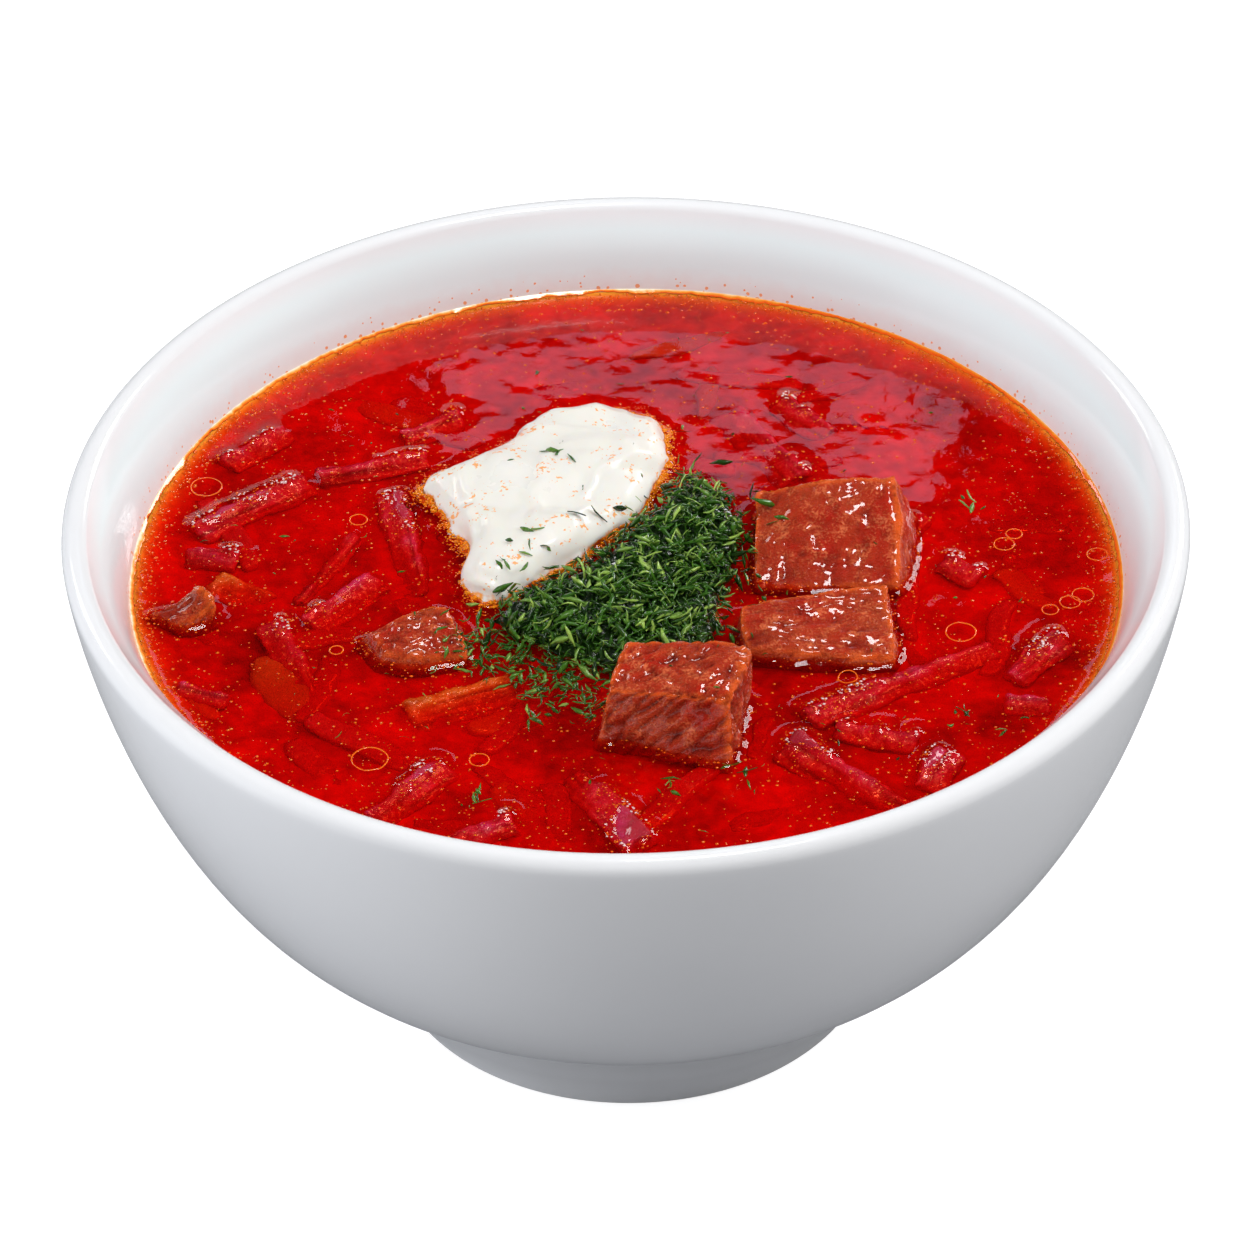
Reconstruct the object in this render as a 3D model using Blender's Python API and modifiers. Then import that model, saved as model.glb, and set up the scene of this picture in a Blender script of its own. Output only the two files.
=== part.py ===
"""Borscht with sour cream, herbs and beef in the white glazed bowl that holds it.

Metres, +Z up. The origin is the centre of the foot ring's resting face.
"""

import math

import bmesh
import bpy
from mathutils import Vector, noise

MM = 0.001
NAME = "borscht_in_bowl"

# Bowl: a turned body whose side is a rounded power curve, on a flared foot ring.
RIM_RADIUS = 82.5 * MM
BOWL_HEIGHT = 83.9 * MM
LIP_THICKNESS = 4.2 * MM
WALL_THICKNESS = 8.4 * MM
FLOOR_THICKNESS = 5.6 * MM
WALL_RUN = 4.5 * MM
BODY_BOTTOM = 15.4 * MM
SIDE_ROUNDNESS = 4.53
BELLY_ROUNDNESS = 1.26
FOOT_RADIUS = 36.9 * MM
FOOT_TOP_RADIUS = 42.2 * MM
FOOT_TOP_HEIGHT = 9.0 * MM
FOOT_WIDTH = 3.6 * MM
FOOT_ROUND = 0.6 * MM
FOOT_ROOF_FILLET = (1.8 * MM, 2.4 * MM)  # how far it runs in along the roof, and down the ring
BODY_END = 0.52
FLARE_BEND = (48.8 * MM, 19.6 * MM)
FLARE_STEPS = 3
TURN_STEPS = 48
LIP_ARC = math.radians(150)
LIP_STEPS = 4
ABOVE_LEVEL_STEPS = 3
INNER_STEPS = 9
OUTER_STEPS = 7

# Broth: its level, and the clearance that every neighbour keeps.
LEVEL = 71.4 * MM
GAP = 0.3 * MM
CUTTER_GROWTH = 0.5 * MM

# Beef: size along X, Y and Z, the turn, tip (front down) and roll in degrees, how far the top
# narrows, and how far the block's centre is over the broth's level.
BEEF = {
    "beef_back": dict(
        at=(32.4, 5.6), size=(22.6, 20.4, 16.0),
        turn=-5, tip=17, roll=-4, taper=0.93, rise=-4.0,
    ),
    "beef_middle": dict(
        at=(28.6, -15.4), size=(24.4, 16.6, 14.0),
        turn=3, tip=12, roll=2, taper=0.86, rise=-3.4,
    ),
    "beef_front": dict(
        at=(7.0, -36.0), size=(20.8, 15.4, 18.0),
        turn=-13, tip=6, roll=2, taper=0.90, rise=1.6,
    ),
    "beef_left": dict(
        at=(-31.4, -16.8), size=(16.0, 13.0, 11.0),
        turn=18, tip=14, roll=6, taper=0.82, rise=-2.2,
    ),
    "beef_wall": dict(
        at=(-64.6, -9.0), size=(9.6, 8.6, 8.6),
        turn=34, tip=10, roll=-12, taper=0.80, rise=-1.4,
    ),
}
BEEF_CUTS = 2
BEEF_ROUGHNESS = 1.5 * MM
BEEF_GRAIN = 7 * MM
BEEF_SOFTNESS = 0.35

# Sticks of beet and carrot: both ends on the broth, the width and thickness, and how far the top
# face stands over the level at the first and at the second end. All in millimetres.
BEET = {
    "beet_01": dict(ends=((-63.8, 12.6), (-47.4, 25.2)), width=5.0, thick=4.0, rise=(0.6, 1.5)),
    "beet_02": dict(ends=((-46.2, 26.6), (-29.6, 30.6)), width=4.4, thick=3.6, rise=(1.2, 0.9)),
    "beet_03": dict(ends=((-35.0, 21.2), (-30.6, -2.6)), width=4.6, thick=3.8, rise=(1.9, -0.3)),
    "beet_04": dict(ends=((-65.4, 7.4), (-57.2, 6.0)), width=4.8, thick=4.2, rise=(1.1, 0.9)),
    "beet_05": dict(ends=((-48.8, -4.6), (-40.4, 12.2)), width=2.6, thick=3.6, rise=(1.0, 0.4)),
    "beet_06": dict(ends=((-46.4, -10.2), (-36.6, 1.0)), width=5.8, thick=3.4, rise=(0.2, 1.0)),
    "beet_07": dict(ends=((-52.2, -9.4), (-43.2, -33.0)), width=4.8, thick=4.6, rise=(2.2, -2.6)),
    "beet_08": dict(ends=((-36.4, -55.2), (-26.4, -43.6)), width=5.0, thick=4.0, rise=(-0.2, 1.7)),
    "beet_09": dict(ends=((-25.4, -60.4), (-16.0, -56.6)), width=4.0, thick=3.4, rise=(0.7, 1.1)),
    "beet_10": dict(ends=((-7.8, -45.4), (1.6, -62.6)), width=5.2, thick=4.2, rise=(0.5, 2.0)),
    "beet_11": dict(ends=((25.6, -34.0), (53.2, -17.6)), width=4.8, thick=4.0, rise=(0.1, 1.6)),
    "beet_12": dict(ends=((22.6, -39.6), (38.6, -54.4)), width=6.4, thick=4.0, rise=(0.9, 0.0)),
    "beet_13": dict(ends=((29.6, -35.8), (41.2, -39.6)), width=4.2, thick=3.6, rise=(0.9, 1.3)),
    "beet_14": dict(ends=((55.6, -25.2), (63.4, -15.6)), width=4.6, thick=3.8, rise=(0.9, 1.4)),
    "beet_15": dict(ends=((54.2, -30.2), (61.0, -31.4)), width=4.2, thick=3.4, rise=(1.0, 0.8)),
    "beet_16": dict(ends=((45.8, -42.0), (41.8, -50.2)), width=5.0, thick=4.2, rise=(1.5, 0.8)),
    "beet_17": dict(ends=((15.8, 42.4), (26.0, 24.2)), width=6.6, thick=4.0, rise=(0.7, 0.3)),
    "beet_18": dict(ends=((23.8, 44.2), (31.4, 36.0)), width=4.8, thick=3.8, rise=(0.9, 1.0)),
    "beet_19": dict(ends=((46.4, 3.2), (52.0, -0.8)), width=4.8, thick=4.0, rise=(1.1, 1.3)),
    "beet_20": dict(ends=((-60.2, 30.0), (-51.0, 38.6)), width=4.6, thick=3.8, rise=(1.3, 0.6)),
    "beet_21": dict(ends=((-33.6, 36.0), (-25.0, 41.0)), width=4.4, thick=3.6, rise=(1.2, 0.7)),
    "beet_22": dict(ends=((-65.0, -24.4), (-57.4, -27.6)), width=3.6, thick=3.2, rise=(1.1, 0.6)),
}
CARROT = {
    "carrot_01": dict(ends=((-61.2, 1.0), (-52.8, -3.8)), width=6.0, thick=4.0, rise=(1.1, -0.4)),
    "carrot_02": dict(ends=((-31.8, -31.4), (-16.0, -25.0)), width=7.0, thick=4.4, rise=(1.0, 0.2)),
}
STICK_CUTS = 2
STICK_BEVEL = 0.45 * MM
STICK_BOW = 0.5 * MM
STICK_SWELL = 0.16
STICK_SWELL_PITCH = 1.7

# Mounds: the outline where each one crosses the broth's level, in millimetres, listed
# anticlockwise, with the height of its crown over the level and its depth under it.
SOUR_CREAM = dict(
    outline=(
        (6.6, 28.6), (4.8, 37.4), (-3.6, 40.8), (-13.2, 37.6), (-17.6, 31.8), (-24.6, 25.8),
        (-31.2, 21.6), (-27.4, 15.0), (-23.4, 7.0), (-23.6, -2.8), (-19.4, -6.6), (-10.6, 0.2),
        (-2.6, 8.0), (3.4, 17.0),
    ),
    crown=4.6, depth=5.0, ripple=0.9, power=0.42,
)
HERBS = dict(
    outline=(
        (17.4, 2.0), (17.6, 15.0), (10.4, 25.0), (5.6, 17.2), (-1.0, 7.4), (-9.4, -1.4),
        (-18.2, -8.0), (-20.4, -12.4), (-12.0, -19.2), (-3.0, -24.0), (8.0, -24.6), (13.6, -17.0),
        (14.4, -7.0),
    ),
    crown=4.2, depth=2.4, ripple=1.3, power=0.5,
)
MOUND_TURNS = 26
MOUND_RINGS = 8
RIPPLE_PITCH = 9.0
FIRST_SEED = {"beef": 1.7, "beet": 11.3, "carrot": 41.9, "cream": 3.1, "herbs": 7.4}


def clearScene():
    for thing in list(bpy.data.objects):
        bpy.data.objects.remove(thing, do_unlink=True)


def newCollection(name):
    collection = bpy.data.collections.new(name)
    bpy.context.scene.collection.children.link(collection)
    return collection


def newMaterial(name, colour, roughness):
    material = bpy.data.materials.new(name)
    material.use_nodes = True
    shader = material.node_tree.nodes["Principled BSDF"]
    shader.inputs["Base Color"].default_value = (*colour, 1.0)
    shader.inputs["Roughness"].default_value = roughness
    shader.inputs["Metallic"].default_value = 0.0
    return material


def meshFrom(bm, name):
    mesh = bpy.data.meshes.new(name)
    bm.to_mesh(mesh)
    bm.free()
    return mesh


def addObject(name, mesh, material, collection):
    thing = bpy.data.objects.new(name, mesh)
    mesh.materials.append(material)
    collection.objects.link(thing)
    return thing



def bodyPoint(station):
    """Radius and height on the bowl's outer side; station 0 is at the lip and 1 on the axis."""
    angle = math.pi / 2 * (1 - (1 - station) ** 2)
    radius = RIM_RADIUS * max(math.cos(angle), 0.0) ** (2 / SIDE_ROUNDNESS)
    lipHeight = BOWL_HEIGHT - LIP_THICKNESS / 2
    drop = (lipHeight - BODY_BOTTOM) * math.sin(angle) ** (2 / BELLY_ROUNDNESS)
    return Vector((radius, lipHeight - drop))


def innerPoint(station, extra=0.0):
    """The point straight across the wall from bodyPoint, plus an extra clearance."""
    if station >= 1.0:
        return Vector((0.0, BODY_BOTTOM + FLOOR_THICKNESS + extra))
    step = 1e-4
    along = (bodyPoint(station + step) - bodyPoint(max(station - step, 0.0))).normalized()
    drop = bodyPoint(0.0).y - bodyPoint(station).y
    deepness = drop / (bodyPoint(0.0).y - BODY_BOTTOM)
    thickness = WALL_THICKNESS + (FLOOR_THICKNESS - WALL_THICKNESS) * deepness
    thickness -= (WALL_THICKNESS - LIP_THICKNESS) * math.exp(-drop / WALL_RUN)
    inner = bodyPoint(station) + Vector((along.y, -along.x)) * (thickness + extra)
    return Vector((max(inner.x, 0.0), inner.y))


def bend(start, corner, end, share):
    """A point on the smooth bend from start to end that leans towards the corner."""
    return start * (1 - share) ** 2 + corner * 2 * share * (1 - share) + end * share**2


def levelStation():
    """The station where the inner wall crosses the broth's level."""
    low, high = 0.0, 1.0
    for _ in range(40):
        middle = (low + high) / 2
        if innerPoint(middle).y > LEVEL:
            low = middle
        else:
            high = middle
    return high


def innerStations():
    """Stations down the inner wall, with one exactly at the broth's level."""
    level = levelStation()
    above = [level * i / ABOVE_LEVEL_STEPS for i in range(ABOVE_LEVEL_STEPS)]
    below = [level + (1 - level) * i / INNER_STEPS for i in range(INNER_STEPS + 1)]
    return above, below


def turned(name, profile, material, collection):
    """A solid turned round Z from a profile in XZ that starts and ends on the axis."""
    bm = bmesh.new()
    verts = [bm.verts.new((x, 0.0, z)) for x, z in profile]
    for first, second in zip(verts, verts[1:]):
        bm.edges.new((first, second))
    thing = addObject(name, meshFrom(bm, name), material, collection)
    screw = thing.modifiers.new("turn", "SCREW")
    screw.axis = "Z"
    screw.angle = 2 * math.pi
    screw.steps = TURN_STEPS
    screw.render_steps = TURN_STEPS
    screw.use_merge_vertices = True
    screw.merge_threshold = 0.00001
    screw.use_smooth_shade = True
    return thing


def buildBowl(material, collection):
    above, below = innerStations()
    inside = [innerPoint(station) for station in reversed(above[1:] + below)]
    lipCentre = Vector((RIM_RADIUS - LIP_THICKNESS / 2, BOWL_HEIGHT - LIP_THICKNESS / 2))
    lip = []
    for i in range(LIP_STEPS + 1):
        angle = LIP_ARC * (1 - i / LIP_STEPS)
        lip.append(lipCentre + Vector((math.cos(angle), math.sin(angle))) * LIP_THICKNESS / 2)
    outside = [bodyPoint(BODY_END * (i + 1) / OUTER_STEPS) for i in range(OUTER_STEPS)]
    ringInner = FOOT_RADIUS - FOOT_WIDTH
    footTop = Vector((FOOT_TOP_RADIUS, FOOT_TOP_HEIGHT))
    shares = [(i + 1) / FLARE_STEPS for i in range(FLARE_STEPS)]
    flare = [bend(outside[-1], Vector(FLARE_BEND), footTop, share) for share in shares]
    foot = [
        Vector((FOOT_RADIUS, FOOT_ROUND)),
        Vector((FOOT_RADIUS - FOOT_ROUND, 0.0)),
        Vector((ringInner + FOOT_ROUND, 0.0)),
        Vector((ringInner, FOOT_ROUND)),
        Vector((ringInner + FOOT_ROUND, BODY_BOTTOM - FOOT_ROOF_FILLET[1])),
        Vector((ringInner - FOOT_ROOF_FILLET[0], BODY_BOTTOM)),
        Vector((0.0, BODY_BOTTOM)),
    ]
    return turned("bowl", inside + lip + outside + flare + foot, material, collection)


def buildBroth(material, collection, cutters):
    _, below = innerStations()
    side = [innerPoint(station, GAP) for station in below[1:]]
    edge = innerPoint(below[0], GAP)
    profile = [Vector((0.0, LEVEL)), Vector((edge.x, LEVEL))] + side
    broth = turned("broth", profile, material, collection)
    cut = broth.modifiers.new("round the garnish", "BOOLEAN")
    cut.operation = "DIFFERENCE"
    cut.operand_type = "COLLECTION"
    cut.collection = cutters
    cut.solver = "EXACT"
    return broth



def grown(mesh, name, growth):
    """A copy of a mesh with every vertex moved outwards."""
    bm = bmesh.new()
    bm.from_mesh(mesh)
    bm.normal_update()
    for vert, normal in [(vert, vert.normal.copy()) for vert in bm.verts]:
        vert.co += normal * growth
    return meshFrom(bm, name)


def addCutter(source, growth, cutters):
    cutter = bpy.data.objects.new(source.name + "_cutter", grown(source.data, "cutter", growth))
    cutter.matrix_world = source.matrix_basis
    cutter.hide_render = True
    cutter.display_type = "WIRE"
    cutters.objects.link(cutter)


def beefMesh(name, size, taper, seed):
    """A cut block: narrower at the top, with torn, uneven faces."""
    bm = bmesh.new()
    bmesh.ops.create_cube(bm, size=1.0)
    bmesh.ops.subdivide_edges(bm, edges=bm.edges[:], cuts=BEEF_CUTS, use_grid_fill=True)
    bm.normal_update()
    pushes = []
    for vert in bm.verts:
        narrow = 1 - (1 - taper) * (vert.co.z + 0.5)
        place = Vector((vert.co.x * narrow * size[0], vert.co.y * narrow * size[1], vert.co.z * size[2]))
        bump = noise.noise(place / BEEF_GRAIN + Vector((seed, 2 * seed, 0)))
        pushes.append((vert, place + vert.normal * bump * BEEF_ROUGHNESS))
    for vert, place in pushes:
        vert.co = place
    bmesh.ops.smooth_vert(
        bm, verts=bm.verts[:], factor=BEEF_SOFTNESS, use_axis_x=True, use_axis_y=True, use_axis_z=True
    )
    return meshFrom(bm, name)


def addBeef(name, spec, seed, material, collection, cutters):
    size = [side * MM for side in spec["size"]]
    thing = addObject(name, beefMesh(name, size, spec["taper"], seed), material, collection)
    thing.location = (spec["at"][0] * MM, spec["at"][1] * MM, LEVEL + spec["rise"] * MM)
    thing.rotation_euler = [math.radians(angle) for angle in (spec["tip"], spec["roll"], spec["turn"])]
    bpy.context.view_layer.update()
    addCutter(thing, CUTTER_GROWTH, cutters)


def stickMesh(name, length, width, thick, seed):
    """A cut stick along X, slightly bowed and uneven."""
    bm = bmesh.new()
    bmesh.ops.create_cube(bm, size=1.0)
    lengthwise = [edge for edge in bm.edges if abs(edge.verts[0].co.x - edge.verts[1].co.x) > 0.5]
    bmesh.ops.subdivide_edges(bm, edges=lengthwise, cuts=STICK_CUTS)
    for vert in bm.verts:
        along = vert.co.x * 2
        bow = Vector((0.0, noise.noise(Vector((seed, 0.3, 0))) * 2, noise.noise(Vector((seed, 0.7, 0)))))
        swell = 1 + STICK_SWELL * noise.noise(Vector((along * STICK_SWELL_PITCH, seed, 0)))
        vert.co = Vector((vert.co.x * length, vert.co.y * width * swell, vert.co.z * thick * swell))
        vert.co += bow * STICK_BOW * (1 - along * along)
    return meshFrom(bm, name)


def addStick(name, spec, seed, material, collection, cutters):
    """A stick laid between its two ends, with its top face at the stated rises."""
    tops = [Vector((*end, rise)) * MM for end, rise in zip(spec["ends"], spec["rise"])]
    run = tops[1] - tops[0]
    width, thick = spec["width"] * MM, spec["thick"] * MM
    thing = addObject(name, stickMesh(name, run.length, width, thick, seed), material, collection)
    thing.rotation_euler = (0.0, -math.asin(run.z / run.length), math.atan2(run.y, run.x))
    thing.location = (tops[0] + tops[1]) / 2 + Vector((0.0, 0.0, LEVEL - thick / 2))
    bpy.context.view_layer.update()
    addCutter(thing, CUTTER_GROWTH, cutters)
    bevel = thing.modifiers.new("soft edges", "BEVEL")
    bevel.width = STICK_BEVEL
    bevel.segments = 1
    bevel.limit_method = "ANGLE"


def outlineAt(outline, turn):
    """A smooth closed curve through the outline's points; turn runs from 0 to 1."""
    count = len(outline)
    place = turn * count
    start = int(math.floor(place))
    f = place - start
    a, b, c, d = [Vector(outline[(start + i) % count]) for i in (-1, 0, 1, 2)]
    return 0.5 * (2 * b + (c - a) * f + (2 * a - 5 * b + 4 * c - d) * f**2 + (3 * b - a - 3 * c + d) * f**3)


def moundMesh(name, spec, centre, seed):
    """A low mound: a sphere whose equator follows the outline, with a rippled crown."""
    bm = bmesh.new()
    bmesh.ops.create_uvsphere(bm, u_segments=MOUND_TURNS, v_segments=MOUND_RINGS, radius=1.0)
    for vert in bm.verts:
        turn = (math.atan2(vert.co.y, vert.co.x) / (2 * math.pi)) % 1.0
        reach = math.hypot(vert.co.x, vert.co.y) ** spec["power"] if vert.co.xy.length > 1e-6 else 0.0
        flat = (outlineAt(spec["outline"], turn) - centre) * reach
        height = spec["crown"] * vert.co.z if vert.co.z > 0 else spec["depth"] * vert.co.z
        place = Vector((flat.x / RIPPLE_PITCH + seed, flat.y / RIPPLE_PITCH, seed))
        ripple = noise.noise(place) * spec["ripple"]
        lift = max(vert.co.z, 0.0)
        vert.co = Vector((flat.x, flat.y, height + ripple * lift)) * MM
    return meshFrom(bm, name)


def addMound(name, spec, seed, material, collection, cutters):
    points = [Vector(point) for point in spec["outline"]]
    centre = sum(points, Vector((0.0, 0.0))) / len(points)
    thing = addObject(name, moundMesh(name, spec, centre, seed), material, collection)
    thing.location = (centre.x * MM, centre.y * MM, LEVEL)
    thing.data.shade_smooth()
    bpy.context.view_layer.update()
    addCutter(thing, CUTTER_GROWTH, cutters)


def build():
    clearScene()
    pieces = newCollection(NAME)
    cutters = newCollection("cutters")
    glaze = newMaterial("white_glaze", (0.86, 0.86, 0.88), 0.12)
    broth = newMaterial("beet_broth", (0.50, 0.01, 0.005), 0.08)
    beef = newMaterial("stewed_beef", (0.36, 0.10, 0.06), 0.35)
    beet = newMaterial("cooked_beet", (0.42, 0.01, 0.04), 0.20)
    carrot = newMaterial("cooked_carrot", (0.62, 0.13, 0.02), 0.25)
    cream = newMaterial("sour_cream", (0.93, 0.91, 0.86), 0.30)
    herb = newMaterial("chopped_dill", (0.05, 0.16, 0.03), 0.50)

    buildBowl(glaze, pieces)
    for seed, (name, spec) in enumerate(BEEF.items()):
        addBeef(name, spec, FIRST_SEED["beef"] + seed, beef, pieces, cutters)
    for seed, (name, spec) in enumerate(BEET.items()):
        addStick(name, spec, FIRST_SEED["beet"] + seed, beet, pieces, cutters)
    for seed, (name, spec) in enumerate(CARROT.items()):
        addStick(name, spec, FIRST_SEED["carrot"] + seed, carrot, pieces, cutters)
    addMound("sour_cream", SOUR_CREAM, FIRST_SEED["cream"], cream, pieces, cutters)
    addMound("herb_heap", HERBS, FIRST_SEED["herbs"], herb, pieces, cutters)
    buildBroth(broth, pieces, cutters)


build()
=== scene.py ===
import math
import random

import bmesh
import bpy
import numpy as np
from mathutils import Matrix, Vector, noise
from mathutils.bvhtree import BVHTree
from mathutils.kdtree import KDTree


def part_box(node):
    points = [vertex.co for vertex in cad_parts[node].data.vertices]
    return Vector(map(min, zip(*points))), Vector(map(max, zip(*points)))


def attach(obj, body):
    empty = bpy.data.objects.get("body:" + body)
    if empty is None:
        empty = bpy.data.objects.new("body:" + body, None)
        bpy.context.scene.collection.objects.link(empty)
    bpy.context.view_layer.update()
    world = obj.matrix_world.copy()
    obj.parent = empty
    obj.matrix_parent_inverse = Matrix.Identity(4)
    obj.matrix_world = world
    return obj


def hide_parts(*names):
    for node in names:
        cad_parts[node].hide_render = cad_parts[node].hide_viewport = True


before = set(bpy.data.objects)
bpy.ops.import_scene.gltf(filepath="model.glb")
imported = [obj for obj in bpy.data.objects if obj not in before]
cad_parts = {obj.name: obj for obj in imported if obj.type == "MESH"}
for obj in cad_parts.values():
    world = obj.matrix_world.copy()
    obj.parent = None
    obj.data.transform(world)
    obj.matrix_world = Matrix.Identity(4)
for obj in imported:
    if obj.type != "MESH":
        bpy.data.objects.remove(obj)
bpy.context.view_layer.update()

mm = 0.001
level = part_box("broth")[1].z
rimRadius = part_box("bowl")[1].x
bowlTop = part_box("bowl")[1].z


def setAll(target, **settings):
    for key, value in settings.items():
        setattr(target, key, value)
    return target


def linkMesh(name, mesh):
    thing = bpy.data.objects.new(name, mesh)
    bpy.context.scene.collection.objects.link(thing)
    return thing


def bakeModifiers(thing):  # the object keeps the mesh that its modifiers make
    bpy.context.view_layer.update()
    graph = bpy.context.evaluated_depsgraph_get()
    mesh = bpy.data.meshes.new_from_object(thing.evaluated_get(graph), depsgraph=graph)
    thing.modifiers.clear()
    thing.data = mesh
    return thing


def points(mesh):
    flat = np.zeros(len(mesh.vertices) * 3)
    mesh.vertices.foreach_get("co", flat)
    return flat.reshape(-1, 3)


def normals(mesh):
    flat = np.zeros(len(mesh.vertices) * 3)
    mesh.vertex_normals.foreach_get("vector", flat)
    return flat.reshape(-1, 3)


def setPoints(mesh, co):
    mesh.vertices.foreach_set("co", co.astype(np.float32).ravel())
    mesh.update()


def storeMask(mesh, name, values):  # a number for each vertex, read by the materials
    layer = mesh.attributes.get(name) or mesh.attributes.new(name, "FLOAT", "POINT")
    layer.data.foreach_set("value", np.asarray(values, dtype=np.float32))


def finishPiece(thing, material, slot, *replaced):
    thing.data.materials.clear()
    thing.data.materials.append(material)
    if thing.type == "MESH":
        thing.data.shade_smooth()
    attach(thing, "root")
    if replaced:
        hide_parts(*replaced)
    return thing


def fineCopy(node, name, voxel, smoothing):  # a dense, evenly meshed copy of a frame part
    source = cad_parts[node]
    mesh = source.data.copy()
    bm = bmesh.new()
    bm.from_mesh(mesh)
    bmesh.ops.remove_doubles(bm, verts=bm.verts[:], dist=0.00001)
    bm.to_mesh(mesh)
    bm.free()
    thing = linkMesh(name, mesh)
    setAll(thing.modifiers.new("remesh", "REMESH"), mode="VOXEL", voxel_size=voxel)
    setAll(thing.modifiers.new("smooth", "SMOOTH"), factor=0.5, iterations=smoothing)
    return bakeModifiers(thing)


def kdTree(places):
    tree = KDTree(len(places))
    for i, where in enumerate(places):
        tree.insert(where, i)
    tree.balance()
    return tree


def smoothStep(low, high, value):
    share = np.clip((value - low) / (high - low), 0.0, 1.0)
    return share * share * (3 - 2 * share)


def unit(value):  # kept from 0 to 1
    return min(1.0, max(0.0, value))


def polar(reach, turn):
    return reach * math.cos(turn), reach * math.sin(turn)


def turns(count):  # evenly spaced angles round a full turn
    return [2 * math.pi * i / count for i in range(count)]


def carve(thing, cut):  # cut says how far each point moves out, and how deep in a hollow it is
    co, out = points(thing.data), normals(thing.data)
    cuts = np.array([cut(Vector(p)) for p in co])
    setPoints(thing.data, co + out * cuts[:, :1])
    storeMask(thing.data, "cavity", cuts[:, 1])


def bridge(bm, rings, closed=False):  # faces from each ring to the next, and from the last to the first
    count = len(rings[0])
    following = rings[1:] + rings[:1] if closed else rings[1:]
    for one, two in zip(rings, following):
        for k in range(count):
            n = (k + 1) % count
            bm.faces.new((one[k], one[n], two[n], two[k]))


def capRing(bm, ring, tip):
    for k, vert in enumerate(ring):
        bm.faces.new((vert, ring[(k + 1) % len(ring)], tip))


def middleOf(ring):
    return sum((vert.co for vert in ring), Vector()) / len(ring)


def newMaterial(name):
    material = bpy.data.materials.new(name)
    material.use_nodes = True
    tree = material.node_tree
    shader = tree.nodes["Principled BSDF"]
    shader.location = (600, 0)
    tree.nodes["Material Output"].location = (900, 0)
    return material, tree, shader


def place(tree, kind, **settings):  # a new node, put down in rows of eight
    count = len(tree.nodes)
    made = tree.nodes.new(kind)
    made.location = (240 * (count % 8) - 1900, 700 - 280 * (count // 8))
    return setAll(made, **settings)


def feed(tree, socket, value):  # a socket is given another socket's output, a colour or a number
    if isinstance(value, bpy.types.NodeSocket):
        tree.links.new(value, socket)
    elif isinstance(value, tuple):
        socket.default_value = (*value, 1.0)
    else:
        socket.default_value = value


def setInputs(made, **values):
    for key, value in values.items():
        made.inputs[key.replace("_", " ")].default_value = value
    return made


def mathNode(tree, operation, *values, clamp=False):
    made = place(tree, "ShaderNodeMath", operation=operation, use_clamp=clamp)
    for socket, value in zip(made.inputs, values):
        feed(tree, socket, value)
    return made.outputs[0]


def storedMask(tree, name):
    return place(tree, "ShaderNodeAttribute", attribute_name=name).outputs["Fac"]


def mapped(tree, value, **ends):  # a mask moved to another range
    made = setInputs(place(tree, "ShaderNodeMapRange"), **ends)
    tree.links.new(value, made.inputs["Value"])
    return made.outputs[0]


def rampColour(tree, share, *stops):
    ramp = place(tree, "ShaderNodeValToRGB")
    while len(ramp.color_ramp.elements) < len(stops):
        ramp.color_ramp.elements.new(0.5)
    for element, (position, colour) in zip(ramp.color_ramp.elements, stops):
        element.position = position
        element.color = (*colour, 1.0)
    tree.links.new(share, ramp.inputs["Fac"])
    return ramp.outputs["Color"]


def joinColour(tree, share, first, second, blend="MIX"):
    mixer = place(tree, "ShaderNodeMix", data_type="RGBA", blend_type=blend)
    for socket, value in ((0, share), (6, first), (7, second)):
        feed(tree, mixer.inputs[socket], value)
    return mixer.outputs[2]


def mixShaders(tree, share, first, second):
    mixer = place(tree, "ShaderNodeMixShader")
    for socket, value in zip(mixer.inputs, (share, first.outputs[0], second.outputs[0])):
        tree.links.new(value, socket)
    return mixer


def newGroup(name, inputs, outputs):
    group = bpy.data.node_groups.new(name, "ShaderNodeTree")
    for label, kind, default in inputs:
        socket = group.interface.new_socket(name=label, in_out="INPUT", socket_type=kind)
        socket.default_value = default
    for label, kind in outputs:
        group.interface.new_socket(name=label, in_out="OUTPUT", socket_type=kind)
    start = place(group, "NodeGroupInput")
    end = place(group, "NodeGroupOutput")
    return group, start, end


def mottleGroup():  # cloudy patches with finer specks in them, as a mask from 0 to 1
    group, start, end = newGroup(
        "mottle",
        (("Scale", "NodeSocketFloat", 100.0), ("Fine Scale", "NodeSocketFloat", 900.0),
         ("Fine Share", "NodeSocketFloat", 0.3), ("Contrast", "NodeSocketFloat", 2.0)),
        (("Mask", "NodeSocketFloat"),),
    )
    where = place(group, "ShaderNodeTexCoord")
    noises = []
    for label, detail in (("Scale", 4.0), ("Fine Scale", 3.0)):
        texture = setInputs(place(group, "ShaderNodeTexNoise"), Detail=detail)
        group.links.new(where.outputs["Object"], texture.inputs["Vector"])
        group.links.new(start.outputs[label], texture.inputs["Scale"])
        noises.append(texture.outputs["Fac"])
    blend = place(group, "ShaderNodeMix", data_type="FLOAT")
    for socket, value in ((0, start.outputs["Fine Share"]), (2, noises[0]), (3, noises[1])):
        feed(group, blend.inputs[socket], value)
    centred = mathNode(group, "SUBTRACT", blend.outputs[0], 0.5)
    mask = mathNode(group, "MULTIPLY_ADD", centred, start.outputs["Contrast"], 0.5, clamp=True)
    group.links.new(mask, end.inputs["Mask"])
    return group


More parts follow.
